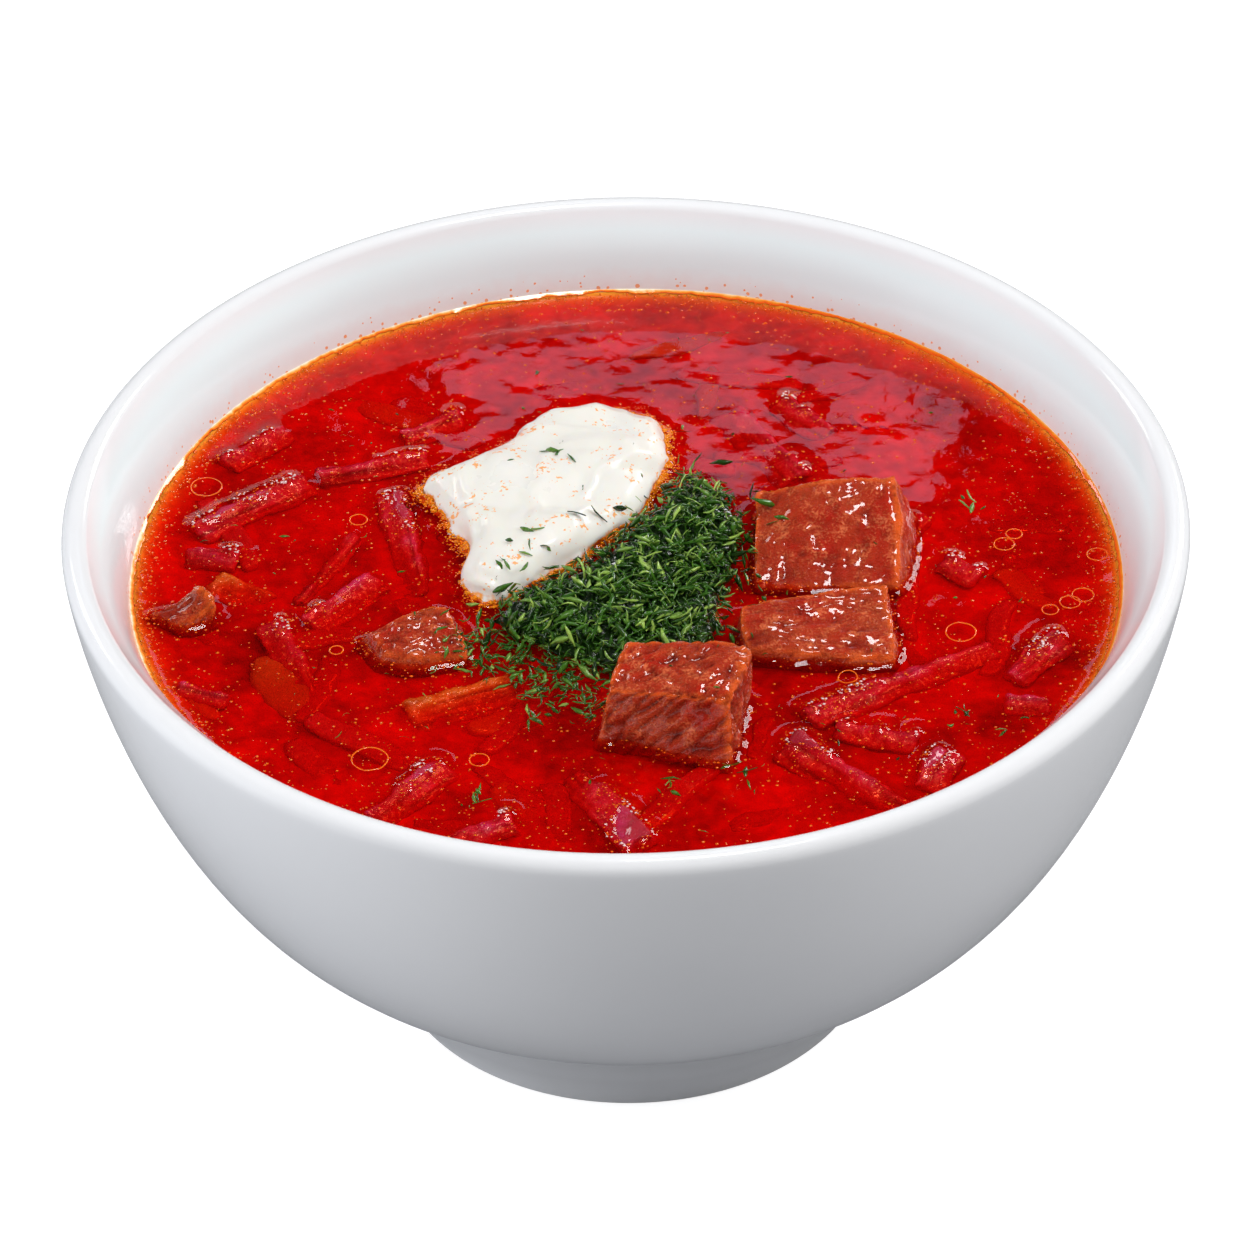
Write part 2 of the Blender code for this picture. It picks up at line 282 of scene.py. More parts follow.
def aboveLevelGroup():  # 1 at the broth's level, fading to 0 at a height above it
    group, start, end = newGroup(
        "nearBroth",
        (("Level", "NodeSocketFloat", level), ("Reach", "NodeSocketFloat", 1.0 * mm),
         ("Unevenness", "NodeSocketFloat", 0.5 * mm), ("Scale", "NodeSocketFloat", 300.0)),
        (("Mask", "NodeSocketFloat"),),
    )
    where = place(group, "ShaderNodeTexCoord")
    split = place(group, "ShaderNodeSeparateXYZ")
    uneven = setInputs(place(group, "ShaderNodeTexNoise"), Detail=5.0)
    group.links.new(where.outputs["Object"], split.inputs[0])
    group.links.new(where.outputs["Object"], uneven.inputs["Vector"])
    group.links.new(start.outputs["Scale"], uneven.inputs["Scale"])
    centred = mathNode(group, "SUBTRACT", uneven.outputs["Fac"], 0.5)
    wobble = mathNode(group, "MULTIPLY", centred, start.outputs["Unevenness"])
    height = mathNode(group, "SUBTRACT", split.outputs["Z"], start.outputs["Level"])
    share = mathNode(group, "DIVIDE", mathNode(group, "ADD", height, wobble), start.outputs["Reach"])
    group.links.new(mathNode(group, "SUBTRACT", 1.0, share, clamp=True), end.inputs["Mask"])
    return group


mottle = mottleGroup()
nearBroth = aboveLevelGroup()


def mottleMask(tree, scale, fineScale, fineShare, contrast):
    made = place(tree, "ShaderNodeGroup", node_tree=mottle)
    setInputs(made, Scale=scale, Fine_Scale=fineScale, Fine_Share=fineShare, Contrast=contrast)
    return made.outputs["Mask"]


def nearBrothMask(tree, reach, unevenness, scale):
    made = place(tree, "ShaderNodeGroup", node_tree=nearBroth)
    return setInputs(made, Reach=reach, Unevenness=unevenness, Scale=scale).outputs["Mask"]


def bumpFrom(tree, shader, height, strength, distance):
    bump = setInputs(place(tree, "ShaderNodeBump"), Strength=strength, Distance=distance)
    tree.links.new(height, bump.inputs["Height"])
    tree.links.new(bump.outputs["Normal"], shader.inputs["Normal"])


def finishShader(tree, shader, colour, mask, low, high):  # the colour, and a roughness from low to high
    tree.links.new(colour, shader.inputs["Base Color"])
    tree.links.new(mapped(tree, mask, To_Min=low, To_Max=high), shader.inputs["Roughness"])


print("helpers ready, level", round(level / mm, 2), "mm")


bowl = {
    "lipThickness": 4.2 * mm,
    "wall": 8.4 * mm,
    "floor": 5.6 * mm,
    "wallRun": 4.5 * mm,
    "bodyBottom": 15.4 * mm,
    "sideRoundness": 4.53,
    "bellyRoundness": 1.26,
    "footRadius": 36.9 * mm,
    "footTopRadius": 42.2 * mm,
    "footTopHeight": 9.0 * mm,
    "footWidth": 3.6 * mm,
    "footRound": 0.9 * mm,
    "roofRound": 2.4 * mm,
    "bodyEnd": 0.52,
    "flareBend": (48.8 * mm, 19.6 * mm),
    "turnSteps": 192,
    "glaze": (0.86, 0.862, 0.875),
    "coolTint": (0.84, 0.845, 0.865),
    # painted shade in red over the inner wall, taking out the broth's red bounce light
    "insideRedShade": (0.79, 0.86, 0.875),
    "paintedBounce": (0.80, 0.52, 0.50),  # painted red bounce light: pink on the wall just above the broth
    "paintedBounceReach": 4.2 * mm,
    "paintedBounceStrength": 0.42,
    "splash": (0.84, 0.34, 0.16),  # fine dots of fat on the wall
    "splashReach": 3.6 * mm,
    "splashDots": 850.0,
    "splashSize": 0.34,
}
lipHeight = bowlTop - bowl["lipThickness"] / 2


def bodyPoint(station):  # radius and height on the outer side, 0 at the lip and 1 on the axis
    angle = math.pi / 2 * (1 - (1 - station) ** 2)
    radius = rimRadius * max(math.cos(angle), 0.0) ** (2 / bowl["sideRoundness"])
    drop = (lipHeight - bowl["bodyBottom"]) * math.sin(angle) ** (2 / bowl["bellyRoundness"])
    return Vector((radius, lipHeight - drop))


def innerPoint(station, extra=0.0):  # straight across the wall from bodyPoint
    if station >= 1.0:
        return Vector((0.0, bowl["bodyBottom"] + bowl["floor"] + extra))
    step = 1e-4
    along = (bodyPoint(station + step) - bodyPoint(max(station - step, 0.0))).normalized()
    drop = bodyPoint(0.0).y - bodyPoint(station).y
    deepness = drop / (bodyPoint(0.0).y - bowl["bodyBottom"])
    thickness = bowl["wall"] + (bowl["floor"] - bowl["wall"]) * deepness
    thickness -= (bowl["wall"] - bowl["lipThickness"]) * math.exp(-drop / bowl["wallRun"])
    inner = bodyPoint(station) + Vector((along.y, -along.x)) * (thickness + extra)
    return Vector((max(inner.x, 0.0), inner.y))


def stationAt(height):  # the station where the inner wall is at a height
    low, high = 0.0, 1.0
    for _ in range(40):
        middle = (low + high) / 2
        if innerPoint(middle).y > height:
            low = middle
        else:
            high = middle
    return high


def arc(centre, radius, start, end, steps):
    angles = [math.radians(start + (end - start) * i / steps) for i in range(steps + 1)]
    return [centre + Vector((math.cos(a), math.sin(a))) * radius for a in angles]


def bend(start, corner, end, steps):
    shares = [(i + 1) / steps for i in range(steps)]
    return [start * (1 - s) ** 2 + corner * 2 * s * (1 - s) + end * s**2 for s in shares]


def turned(name, profile, steps):
    bm = bmesh.new()
    verts = [bm.verts.new((x, 0.0, z)) for x, z in profile]
    for first, second in zip(verts, verts[1:]):
        bm.edges.new((first, second))
    mesh = bpy.data.meshes.new(name)
    bm.to_mesh(mesh)
    bm.free()
    thing = linkMesh(name, mesh)
    screw = setAll(thing.modifiers.new("turn", "SCREW"), axis="Z", steps=steps, render_steps=steps)
    setAll(screw, use_merge_vertices=True, merge_threshold=0.000005, use_smooth_shade=True)
    return bakeModifiers(thing)


def bowlProfile():
    inside = [innerPoint(1 - i / 60) for i in range(60)]
    inside = [p for p in inside if p.y < lipHeight - 0.2 * mm]
    lip = arc(Vector((rimRadius - bowl["lipThickness"] / 2, lipHeight)), bowl["lipThickness"] / 2, 158, 0, 14)
    outside = [bodyPoint(bowl["bodyEnd"] * (i + 1) / 26) for i in range(26)]
    footTop = Vector((bowl["footTopRadius"], bowl["footTopHeight"]))
    flare = bend(outside[-1], Vector(bowl["flareBend"]), footTop, 10)
    curve, roofCurve = bowl["footRound"], bowl["roofRound"]
    inner = bowl["footRadius"] - bowl["footWidth"]
    footOut = arc(Vector((bowl["footRadius"] - curve, curve)), curve, -10, -90, 5)
    footIn = arc(Vector((inner + curve, curve)), curve, -90, -180, 5)
    roof = arc(Vector((inner - roofCurve, bowl["bodyBottom"] - roofCurve)), roofCurve, 0, 90, 6)
    return inside + lip + outside + flare + footOut + footIn + roof + [Vector((0.0, bowl["bodyBottom"]))]


def glazeMaterial():
    material, tree, shader = newMaterial("whiteGlaze")
    tint = mottleMask(tree, 28.0, 240.0, 0.2, 1.6)
    glaze = joinColour(tree, tint, bowl["glaze"], bowl["coolTint"])
    where = place(tree, "ShaderNodeTexCoord")
    inside = storedMask(tree, "inside")

    # painted red bounce light from the broth, fading up the inner wall
    paintedBounce = nearBrothMask(tree, bowl["paintedBounceReach"], 3.0 * mm, 420.0)
    faint = mathNode(tree, "MULTIPLY", paintedBounce, bowl["paintedBounceStrength"])
    paintedBounceShare = mathNode(tree, "MULTIPLY", faint, inside, clamp=True)
    # the inner wall is painted less red: painted shade against the broth's red bounce light
    inner = joinColour(tree, inside, glaze, bowl["insideRedShade"])
    bounceTinted = joinColour(tree, paintedBounceShare, inner, bowl["paintedBounce"])

    cells = setInputs(place(tree, "ShaderNodeTexVoronoi"), Scale=bowl["splashDots"])
    tree.links.new(where.outputs["Object"], cells.inputs["Vector"])
    near = nearBrothMask(tree, bowl["splashReach"], 5.0 * mm, 900.0)
    dotSize = mathNode(tree, "MULTIPLY", near, bowl["splashSize"])
    dots = mathNode(tree, "LESS_THAN", cells.outputs["Distance"], dotSize)
    dotShare = mathNode(tree, "MULTIPLY", dots, inside, clamp=True)
    spotted = joinColour(tree, dotShare, bounceTinted, bowl["splash"])
    finishShader(tree, shader, spotted, tint, 0.10, 0.20)
    pull = mottleMask(tree, 55.0, 700.0, 0.12, 1.0)
    bumpFrom(tree, shader, pull, 0.10, 0.4 * mm)
    setInputs(shader, Coat_Weight=0.35, Coat_Roughness=0.05, IOR=1.5)
    return material


whiteGlaze = glazeMaterial()
bowlPiece = turned("glazedBowl", bowlProfile(), bowl["turnSteps"])
bowlCo = points(bowlPiece.data)
bowlReach = np.hypot(bowlCo[:, 0], bowlCo[:, 1])
innerReach = innerPoint(stationAt(bowlTop - 3 * mm)).x + 0.5 * mm
storeMask(bowlPiece.data, "inside", (bowlCo[:, 2] > level - 0.6 * mm) & (bowlReach < innerReach))
finishPiece(bowlPiece, whiteGlaze, "glaze", "bowl")
print("bowl turned:", len(bowlPiece.data.polygons), "faces")


beef = {
    "voxel": 0.48 * mm,
    "cubes": {  # the way the fibres run, and how deep the grooves between them are
        "beef_back": ((0.20, 0.85, 0.50), 0.25), "beef_middle": ((0.95, 0.10, 0.25), 0.35),
        "beef_front": ((0.70, 0.10, 0.70), 0.75), "beef_left": ((0.75, 0.50, -0.40), 0.5),
        "beef_wall": ((0.50, 0.20, 0.80), 0.5),
    },
    "grooveDepth": 0.60 * mm,
    "bulgeDepth": 0.80 * mm,
    "lumpDepth": 0.26 * mm,
    "pebbleDepth": 0.13 * mm,
    "shapes": {  # width, height, how low and narrow the left end is cut, and the lean of the faces
        "beef_back": (1.13, 1.42, 0.86, 0.95, (-0.18, 0.42)),
        "beef_middle": (1.08, 1.10, 0.66, 0.62, (-0.10, 0.45)),
        "beef_front": (1.04, 1.12, 0.84, 0.84, (0.05, 0.34)),
        "beef_left": (1.0, 1.20, 0.40, 0.38, (0.05, 0.60)),
        "beef_wall": (1.0, 1.35, 0.20, 0.42, (0.20, 0.50)),
    },
    "brown": (0.45, 0.050, 0.016),
    "red": (0.47, 0.018, 0.006),
    "pale": (0.80, 0.190, 0.070),
    # painted glow along edges and corners, standing in for light shining through them
    "edge": (0.95, 0.150, 0.018),
    # painted shade for the grooves and pits
    "creviceShade": (0.15, 0.008, 0.004),
    "soaked": (0.30, 0.012, 0.006),
}


def stretchedNoise(at, grain, along, across, seed):  # noise drawn out along the grain
    share = at.dot(grain)
    flat = at - grain * share
    return noise.noise(flat / across + grain * (share / along) + Vector((seed, seed * 1.3, -seed)))


def convexity(thing, iterations, depth):  # 1 along edges and corners, 0 on flat faces
    copy = linkMesh("smoothed", thing.data.copy())
    setAll(copy.modifiers.new("smooth", "SMOOTH"), factor=0.5, iterations=iterations)
    bakeModifiers(copy)
    stands = ((points(thing.data) - points(copy.data)) * normals(thing.data)).sum(axis=1)
    bpy.data.objects.remove(copy)
    return smoothStep(0.1, 1.0, stands / depth)


def cutBeef(thing, wide, tall, low, narrow, lean):  # a cube becomes a wedge: lower and narrower at the left
    co = points(thing.data)
    least, most = co.min(axis=0), co.max(axis=0)
    share = smoothStep(0.0, 0.85, (co[:, 0] - least[0]) / (most[0] - least[0]))
    middle = (least[1] + most[1]) / 2
    co[:, 1] = middle + (co[:, 1] - middle) * (narrow + (1 - narrow) * share)
    above = np.maximum(co[:, 2] - level, 0.0)
    back = (co[:, 1] - least[1]) / (most[1] - least[1])
    above *= tall * (low + (1 - low) * share) * (0.90 + 0.10 * back)
    co[:, 2] = np.where(co[:, 2] > level, level + above, co[:, 2])
    co[:, 0] = most[0] - (most[0] - co[:, 0]) * wide + above * lean[0]
    co[:, 1] += above * lean[1] * (1 - back)
    setPoints(thing.data, co)


def tearBeef(thing, grain, grooves, seed):
    def tear(at):
        fibre = stretchedNoise(at, grain, 9.0 * mm, 1.7 * mm, seed)
        strand = stretchedNoise(at, grain, 3.2 * mm, 0.8 * mm, seed + 9)
        bulge = noise.noise(at / (8.5 * mm) + Vector((0, 0, seed)))
        lump = noise.noise(at / (3.0 * mm) + Vector((seed, 0, 0)))
        pebble = noise.noise(at / (0.8 * mm) + Vector((0, seed, 0)))
        groove = max(0.0, 1 - abs(fibre) / 0.2) * grooves
        push = bulge * beef["bulgeDepth"] + lump * beef["lumpDepth"] - groove * beef["grooveDepth"]
        push += (strand + pebble) * beef["pebbleDepth"]
        pits = 0.7 * max(0.0, -pebble - strand - 0.15) + max(0.0, -lump - 0.25)
        return push, min(1.0, 0.8 * groove + pits)

    # the edge mask, where the beef material paints a translucent orange glow
    storeMask(thing.data, "edge", convexity(thing, 40, 0.32 * mm))
    carve(thing, tear)


def beefMaterial():
    material, tree, shader = newMaterial("stewedBeef")
    patches = mottleMask(tree, 140.0, 900.0, 0.3, 4.2)
    flecks = mottleMask(tree, 420.0, 2600.0, 0.5, 4.0)
    body = joinColour(tree, patches, beef["brown"], beef["red"])
    fleckShare = mapped(tree, flecks, From_Min=0.55, From_Max=1.0, To_Max=0.75)
    flecked = joinColour(tree, fleckShare, body, beef["pale"])
    # painted glow: bright orange along edges and corners
    edgeGlowShare = mathNode(tree, "MULTIPLY", storedMask(tree, "edge"), 0.7)
    edgeGlowed = joinColour(tree, edgeGlowShare, flecked, beef["edge"])
    # painted shade: darker in grooves and pits, by the cavity mask
    deep = joinColour(tree, storedMask(tree, "cavity"), edgeGlowed, beef["creviceShade"])
    soakShare = mathNode(tree, "MULTIPLY", nearBrothMask(tree, 2.2 * mm, 2.4 * mm, 350.0), 0.55)
    wet = joinColour(tree, soakShare, deep, beef["soaked"])
    finishShader(tree, shader, wet, patches, 0.22, 0.42)
    bumpFrom(tree, shader, flecks, 0.9, 0.3 * mm)
    setInputs(shader, Coat_Weight=1.0, Coat_Roughness=0.06, Specular_IOR_Level=0.08)
    setInputs(shader, Subsurface_Weight=0.12, Subsurface_Scale=0.0015, Subsurface_Radius=(1.0, 0.25, 0.15))
    return material


stewedBeef = beefMaterial()
solids = []
for seed, (node, (grain, grooves)) in enumerate(beef["cubes"].items()):
    cube = fineCopy(node, node.replace("beef", "beefCube"), beef["voxel"], 1)
    cutBeef(cube, *beef["shapes"][node])
    tearBeef(cube, Vector(grain).normalized(), grooves, 3.7 * (seed + 1))
    solids.append(finishPiece(cube, stewedBeef, "beef", node))
print("beef cubes torn")


sticks = {
    "voxel": 0.36 * mm,
    "streakDepth": 0.16 * mm,
    "nibbleDepth": 0.40 * mm,
    "swellDepth": 0.60 * mm,
    "poreDepth": 0.10 * mm,
    "sink": {"beet": 1.55 * mm, "carrot": 1.75 * mm},
    "roll": (14.0, 30.0),
    "pitch": 4.5,
    "beet": (0.50, 0.012, 0.075),
    "beetPale": (0.72, 0.040, 0.170),
    "beetSkin": (0.42, 0.020, 0.036),
    "carrot": (0.62, 0.100, 0.012),
    "carrotPale": (0.72, 0.230, 0.030),
    "carrotSkin": (0.62, 0.085, 0.012),
}


def settle(thing, rng, sink):  # a stick rolls a little, so that its far edge stands out of the broth
    co = points(thing.data)
    middle = co.mean(axis=0)
    axis = np.linalg.svd(co - middle, full_matrices=False)[2][0]
    if axis[0] < 0:
        axis = -axis
    angle = math.radians(rng.uniform(*sticks["roll"]))
    across = Vector(axis).cross(Vector((0, 0, 1))).normalized()
    dip = math.radians(rng.choice((-1, 1)) * rng.uniform(0.4, 1.0) * sticks["pitch"])
    turn = np.array(Matrix.Rotation(dip, 3, across) @ Matrix.Rotation(angle, 3, Vector(axis)))
    setPoints(thing.data, (co - middle) @ turn.T + middle - np.array((0, 0, sink)))


def cutMarks(thing, seed):  # lengthwise streaks and a nibbled skin
    co = points(thing.data)
    axis = Vector(np.linalg.svd(co - co.mean(axis=0), full_matrices=False)[2][0])

    def mark(at):
        streak = stretchedNoise(at, axis, 14 * mm, 0.7 * mm, seed)
        swell = noise.noise(at / (4.5 * mm) + Vector((0, seed, 0)))
        nibble = noise.noise(at / (1.6 * mm) + Vector((seed, 0, 0)))
        pore = noise.noise(at / (0.6 * mm) + Vector((0, 0, seed)))
        push = streak * sticks["streakDepth"] + nibble * sticks["nibbleDepth"] + pore * sticks["poreDepth"]
        return push + swell * sticks["swellDepth"], max(0.0, -streak * 1.2)

    carve(thing, mark)


def vegetableMaterial(name, colour, pale, skin, wetness):
    material, tree, shader = newMaterial(name)
    patches = mottleMask(tree, 190.0, 1500.0, 0.4, 2.6)
    body = joinColour(tree, patches, colour, pale)
    # painted shade: grooves darkened by the cavity mask
    darkToneAndShade = tuple(channel * 0.45 for channel in colour)
    grooveShaded = joinColour(tree, storedMask(tree, "cavity"), body, darkToneAndShade)
    under = nearBrothMask(tree, 0.8 * mm, 0.5 * mm, 500.0)
    finishShader(tree, shader, joinColour(tree, under, skin, grooveShaded), patches, 0.16, 0.34)
    bumpFrom(tree, shader, mottleMask(tree, 800.0, 3000.0, 0.4, 3.0), 0.75, 0.22 * mm)
    setInputs(shader, Coat_Weight=wetness, Coat_Roughness=0.05, Specular_IOR_Level=0.15)
    setInputs(shader, Subsurface_Weight=0.2, Subsurface_Scale=0.002, Subsurface_Radius=(1.0, 0.2, 0.25))
    return material


cookedBeet = vegetableMaterial("cookedBeet", sticks["beet"], sticks["beetPale"], sticks["beetSkin"], 0.9)
cookedCarrot = vegetableMaterial(
    "cookedCarrot", sticks["carrot"], sticks["carrotPale"], sticks["carrotSkin"], 0.9
)
rng = random.Random(19)
stickNodes = sorted(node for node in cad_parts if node.startswith(("beet_", "carrot_")))
for seed, node in enumerate(stickNodes):
    kind = node.split("_")[0]
    stick = fineCopy(node, kind + "Stick" + node[-3:], sticks["voxel"], 2)
    settle(stick, rng, sticks["sink"][kind])
    cutMarks(stick, 5.1 * (seed + 1))
    solids.append(finishPiece(stick, cookedBeet if kind == "beet" else cookedCarrot, kind, node))
print("sticks cut:", len(stickNodes))


cream = {
    "voxel": 0.5 * mm,
    "foldDepth": 1.1 * mm,
    "raggedness": 1.3 * mm,
    "white": (0.860, 0.845, 0.800),
    "shade": (0.790, 0.760, 0.690),
    "stain": (0.94, 0.36, 0.045),
    "bleed": (1.00, 0.330, 0.010),
    "bleedDeep": (0.95, 0.060, 0.005),
    "bleedReach": 1.45 * mm,
    "grains": 6200,
}


def foldCream(thing):
    mesh = thing.data
    co, out = points(mesh), normals(mesh)
    moved = co.copy()
    for i, (p, n) in enumerate(zip(co, out)):
        at = Vector(p)
        coarse = at / (9 * mm)
        warp = Vector((noise.noise(coarse), noise.noise(coarse + Vector((7, 0, 0))), 0)) * 6 * mm
        fold = noise.noise((at + warp) / (8 * mm) + Vector((2.2, 5.1, 0)))
        ridge = 1 - abs(noise.noise((at + warp) / (11 * mm) + Vector((8.2, 1.1, 0)))) * 4
        edge = 1 - smoothStep(0.0, 1.6 * mm, abs(p[2] - level))
        rag = noise.fractal(at / (3.2 * mm), 1.0, 2.0, 4)
        flat = Vector((n[0], n[1], 0.0))
        shift = Vector(n) * (fold * cream["foldDepth"] + max(ridge, 0) * 0.5 * mm) * (p[2] > level)
        moved[i] = Vector(p) + shift + flat * rag * cream["raggedness"] * edge
    setPoints(mesh, moved)


def creamMaterial():
    material, tree, shader = newMaterial("sourCream")
    cloud = mottleMask(tree, 90.0, 500.0, 0.2, 1.5)
    body = joinColour(tree, cloud, cream["white"], cream["shade"])
    edge = nearBrothMask(tree, 1.0 * mm, 3.8 * mm, 520.0)
    sharp = mapped(tree, edge, From_Min=0.05, From_Max=0.55)
    stained = joinColour(tree, sharp, body, cream["stain"])
    spots = mottleMask(tree, 210.0, 1500.0, 0.5, 5.0)
    spotShare = mapped(tree, spots, From_Min=0.997, From_Max=1.0, To_Max=0.85)
    spotted = joinColour(tree, spotShare, stained, cream["stain"])
    finishShader(tree, shader, spotted, cloud, 0.22, 0.38)
    bumpFrom(tree, shader, cloud, 0.25, 0.5 * mm)
    setInputs(shader, Coat_Weight=0.3, Coat_Roughness=0.12)
    setInputs(shader, Subsurface_Weight=0.35, Subsurface_Scale=0.003, Subsurface_Radius=(1.0, 0.7, 0.45))
    return material


sourCream = creamMaterial()
dollop = fineCopy("sour_cream", "sourCreamDollop", cream["voxel"], 6)
foldCream(dollop)
solids.append(finishPiece(dollop, sourCream, "cream", "sour_cream"))
print("cream folded")


dill = {
    "flakes": 3000,
    "strays": 130,
    "length": (0.9 * mm, 3.5 * mm),
    "width": (0.28 * mm, 1.00 * mm),
    "lift": (0.1, 2.1),
    "scales": (0.55, 0.8, 1.0, 1.15),
    "clump": 3.4 * mm,
    "rolledShare": 0.42,  # of the flakes, roll off the heap this far
    "rolledReach": 2.9 * mm,
    "strayReach": 64 * mm,
    "strayPlaces": (  # in mm
        (8.4, 36.3), (-9.0, 24.4), (-13.4, 3.6), (52.2, 16.7), (47.6, -34.3), (-12.6, -33.7),
        (-21.1, -52.2), (5.1, -50.5), (15.8, -46.9), (55.3, -37.9), (-22.0, -15.0), (-16.0, -22.0),
        (-12.0, -28.0), (-8.0, -26.0), (-5.0, -31.0), (-10.0, -20.0), (-18.0, -17.0), (-6.0, -21.0),
        (-14.0, -25.0), (19.0, -8.0), (20.0, 8.0), (16.0, 22.0), (-24.0, -20.0), (10.0, 28.0),
    ),
    # flakes low in the heap take this dark tone: painted shade, with a random spread
    "darkToneAndShade": (0.008, 0.035, 0.004),
    "leaf": (0.060, 0.200, 0.012),
    "fresh": (0.420, 0.640, 0.110),
}


def dillMaterial(name, shadeDimmer):
    material, tree, shader = newMaterial(name)
    stops = [(share, tuple(channel * shadeDimmer for channel in dill[tone]))
             for share, tone in ((0.0, "darkToneAndShade"), (0.55, "leaf"), (1.0, "fresh"))]
    green = rampColour(tree, storedMask(tree, "tone"), *stops)
    veins = mottleMask(tree, 700.0, 3500.0, 0.5, 2.5)
    veinColour = rampColour(tree, veins, (0.0, (0.55, 0.55, 0.55)), (1.0, (1.0, 1.0, 1.0)))
    veined = joinColour(tree, 1.0, green, veinColour, "MULTIPLY")
    finishShader(tree, shader, veined, veins, 0.22, 0.42)
    bumpFrom(tree, shader, veins, 0.4, 0.12 * mm)
    setInputs(shader, Coat_Weight=1.0, Coat_Roughness=0.12)
    return material


def flattenedTube(bm, centres, widths, thickness, side, up):  # closed, pointed at both ends
    rings = []
    for centre, width in zip(centres, widths):
        corners = (side * width, up * thickness, -side * width, -up * thickness * 0.6)
        rings.append([bm.verts.new(centre + corner * 0.5) for corner in corners])
    bridge(bm, rings)
    made = [vert for ring in rings for vert in ring]
    ends = ((rings[0], -1, centres[0] - centres[1]), (rings[-1], 1, centres[-1] - centres[-2]))
    for ring, order, outward in ends:
        tip = bm.verts.new(middleOf(ring) + outward.normalized() * 0.12 * mm)
        made.append(tip)
        capRing(bm, ring[::order], tip)
    return made


def addFlake(bm, centre, facing, rng, scale=1.0, tilt=0.55):
    turn = rng.uniform(0, 2 * math.pi)
    axis = Vector((math.cos(turn), math.sin(turn), 0.0))
    axis = (axis - facing * axis.dot(facing)).normalized()
    axis = (axis + facing * rng.uniform(-tilt, tilt)).normalized()
    side = facing.cross(axis).normalized()
    side = (Matrix.Rotation(rng.uniform(-1.0, 1.0), 3, axis) @ side).normalized()
    up = axis.cross(side)
    length = rng.uniform(*dill["length"]) * scale
    width = rng.uniform(*dill["width"]) * scale
    curl = rng.uniform(-0.45, 0.45) * length
    sway = rng.uniform(-0.35, 0.35) * length
    shares = (-0.5, -0.2, 0.15, 0.5)
    centres = [
        centre + axis * length * s + up * curl * (0.25 - s * s) * 2 + side * sway * s * abs(s) * 2
        for s in shares
    ]
    widths = [width * w for w in (0.35, 1.0, 0.85, 0.2)]
    thick = width * rng.uniform(0.22, 0.45)
    return flattenedTube(bm, centres, widths, thick, side, up)


def joinedPiece(name, bm, tones=None):
    mesh = bpy.data.meshes.new(name)
    bmesh.ops.recalc_face_normals(bm, faces=bm.faces[:])
    bm.to_mesh(mesh)
    bm.free()
    thing = linkMesh(name, mesh)
    if tones is not None:
        storeMask(mesh, "tone", tones)
    return thing


def heightTree(things):  # one tree over several pieces, for dropping things on to them
    verts, faces = [], []
    for thing in things:
        base = len(verts)
        verts += [v.co.copy() for v in thing.data.vertices]
        faces += [[base + i for i in f.vertices] for f in thing.data.polygons]
    return BVHTree.FromPolygons(verts, faces)


def restOn(tree, x, y):
    hit, normal, _, _ = tree.ray_cast(Vector((x, y, bowlTop + 0.02)), Vector((0, 0, -1)))
    if hit is None or hit.z < level:
        return Vector((x, y, level + 0.15 * mm)), Vector((0, 0, 1))
    return hit, normal


# a dark body inside the heap, dimmed to 0.3: painted shade between the flakes
herbShadeBody = fineCopy("herb_heap", "herbShadeCore", 0.5 * mm, 6)
coreCo, coreOut = points(herbShadeBody.data), normals(herbShadeBody.data)
lumps = np.array([noise.noise(Vector(p) / (2.2 * mm)) for p in coreCo])
setPoints(herbShadeBody.data, coreCo - coreOut * (1.3 * mm + 0.9 * mm * lumps)[:, None])
storeMask(herbShadeBody.data, "tone", np.clip(0.2 + 0.4 * lumps, 0, 1))
finishPiece(herbShadeBody, dillMaterial("herbShade", 0.3), "herbs", "herb_heap")
heapTree = heightTree([herbShadeBody])
garnishTree = heightTree(solids + [herbShadeBody])


def scatterHeap(bm, tones, rng):
    low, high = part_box("herb_heap")
    placed = 0
    while placed < dill["flakes"]:
        x, y = rng.uniform(low.x, high.x), rng.uniform(low.y, high.y)
        hit, normal, _, _ = heapTree.ray_cast(Vector((x, y, bowlTop)), Vector((0, 0, -1)))
        if hit is None or hit.z < level - 0.4 * mm:
            continue
        if rng.random() < dill["rolledShare"]:
            x += rng.gauss(0, dill["rolledReach"])
            y += rng.gauss(0, dill["rolledReach"])
            hit, normal = restOn(garnishTree, x, y)
        lift = rng.uniform(*dill["lift"]) * mm
        clump = noise.noise(Vector((x, y, 0)) / dill["clump"])
        if rng.random() < 0.45 - 1.2 * clump and lift > 0.7 * mm:
            continue
        made = addFlake(bm, hit + normal * lift, normal, rng, rng.choice(dill["scales"]), 0.75)
        # tone rises with lift, so lower flakes are darker: painted shade, with a random spread
        tones += [unit(0.06 + 0.26 * lift / mm + rng.gauss(0, 0.32))] * len(made)
        placed += 1


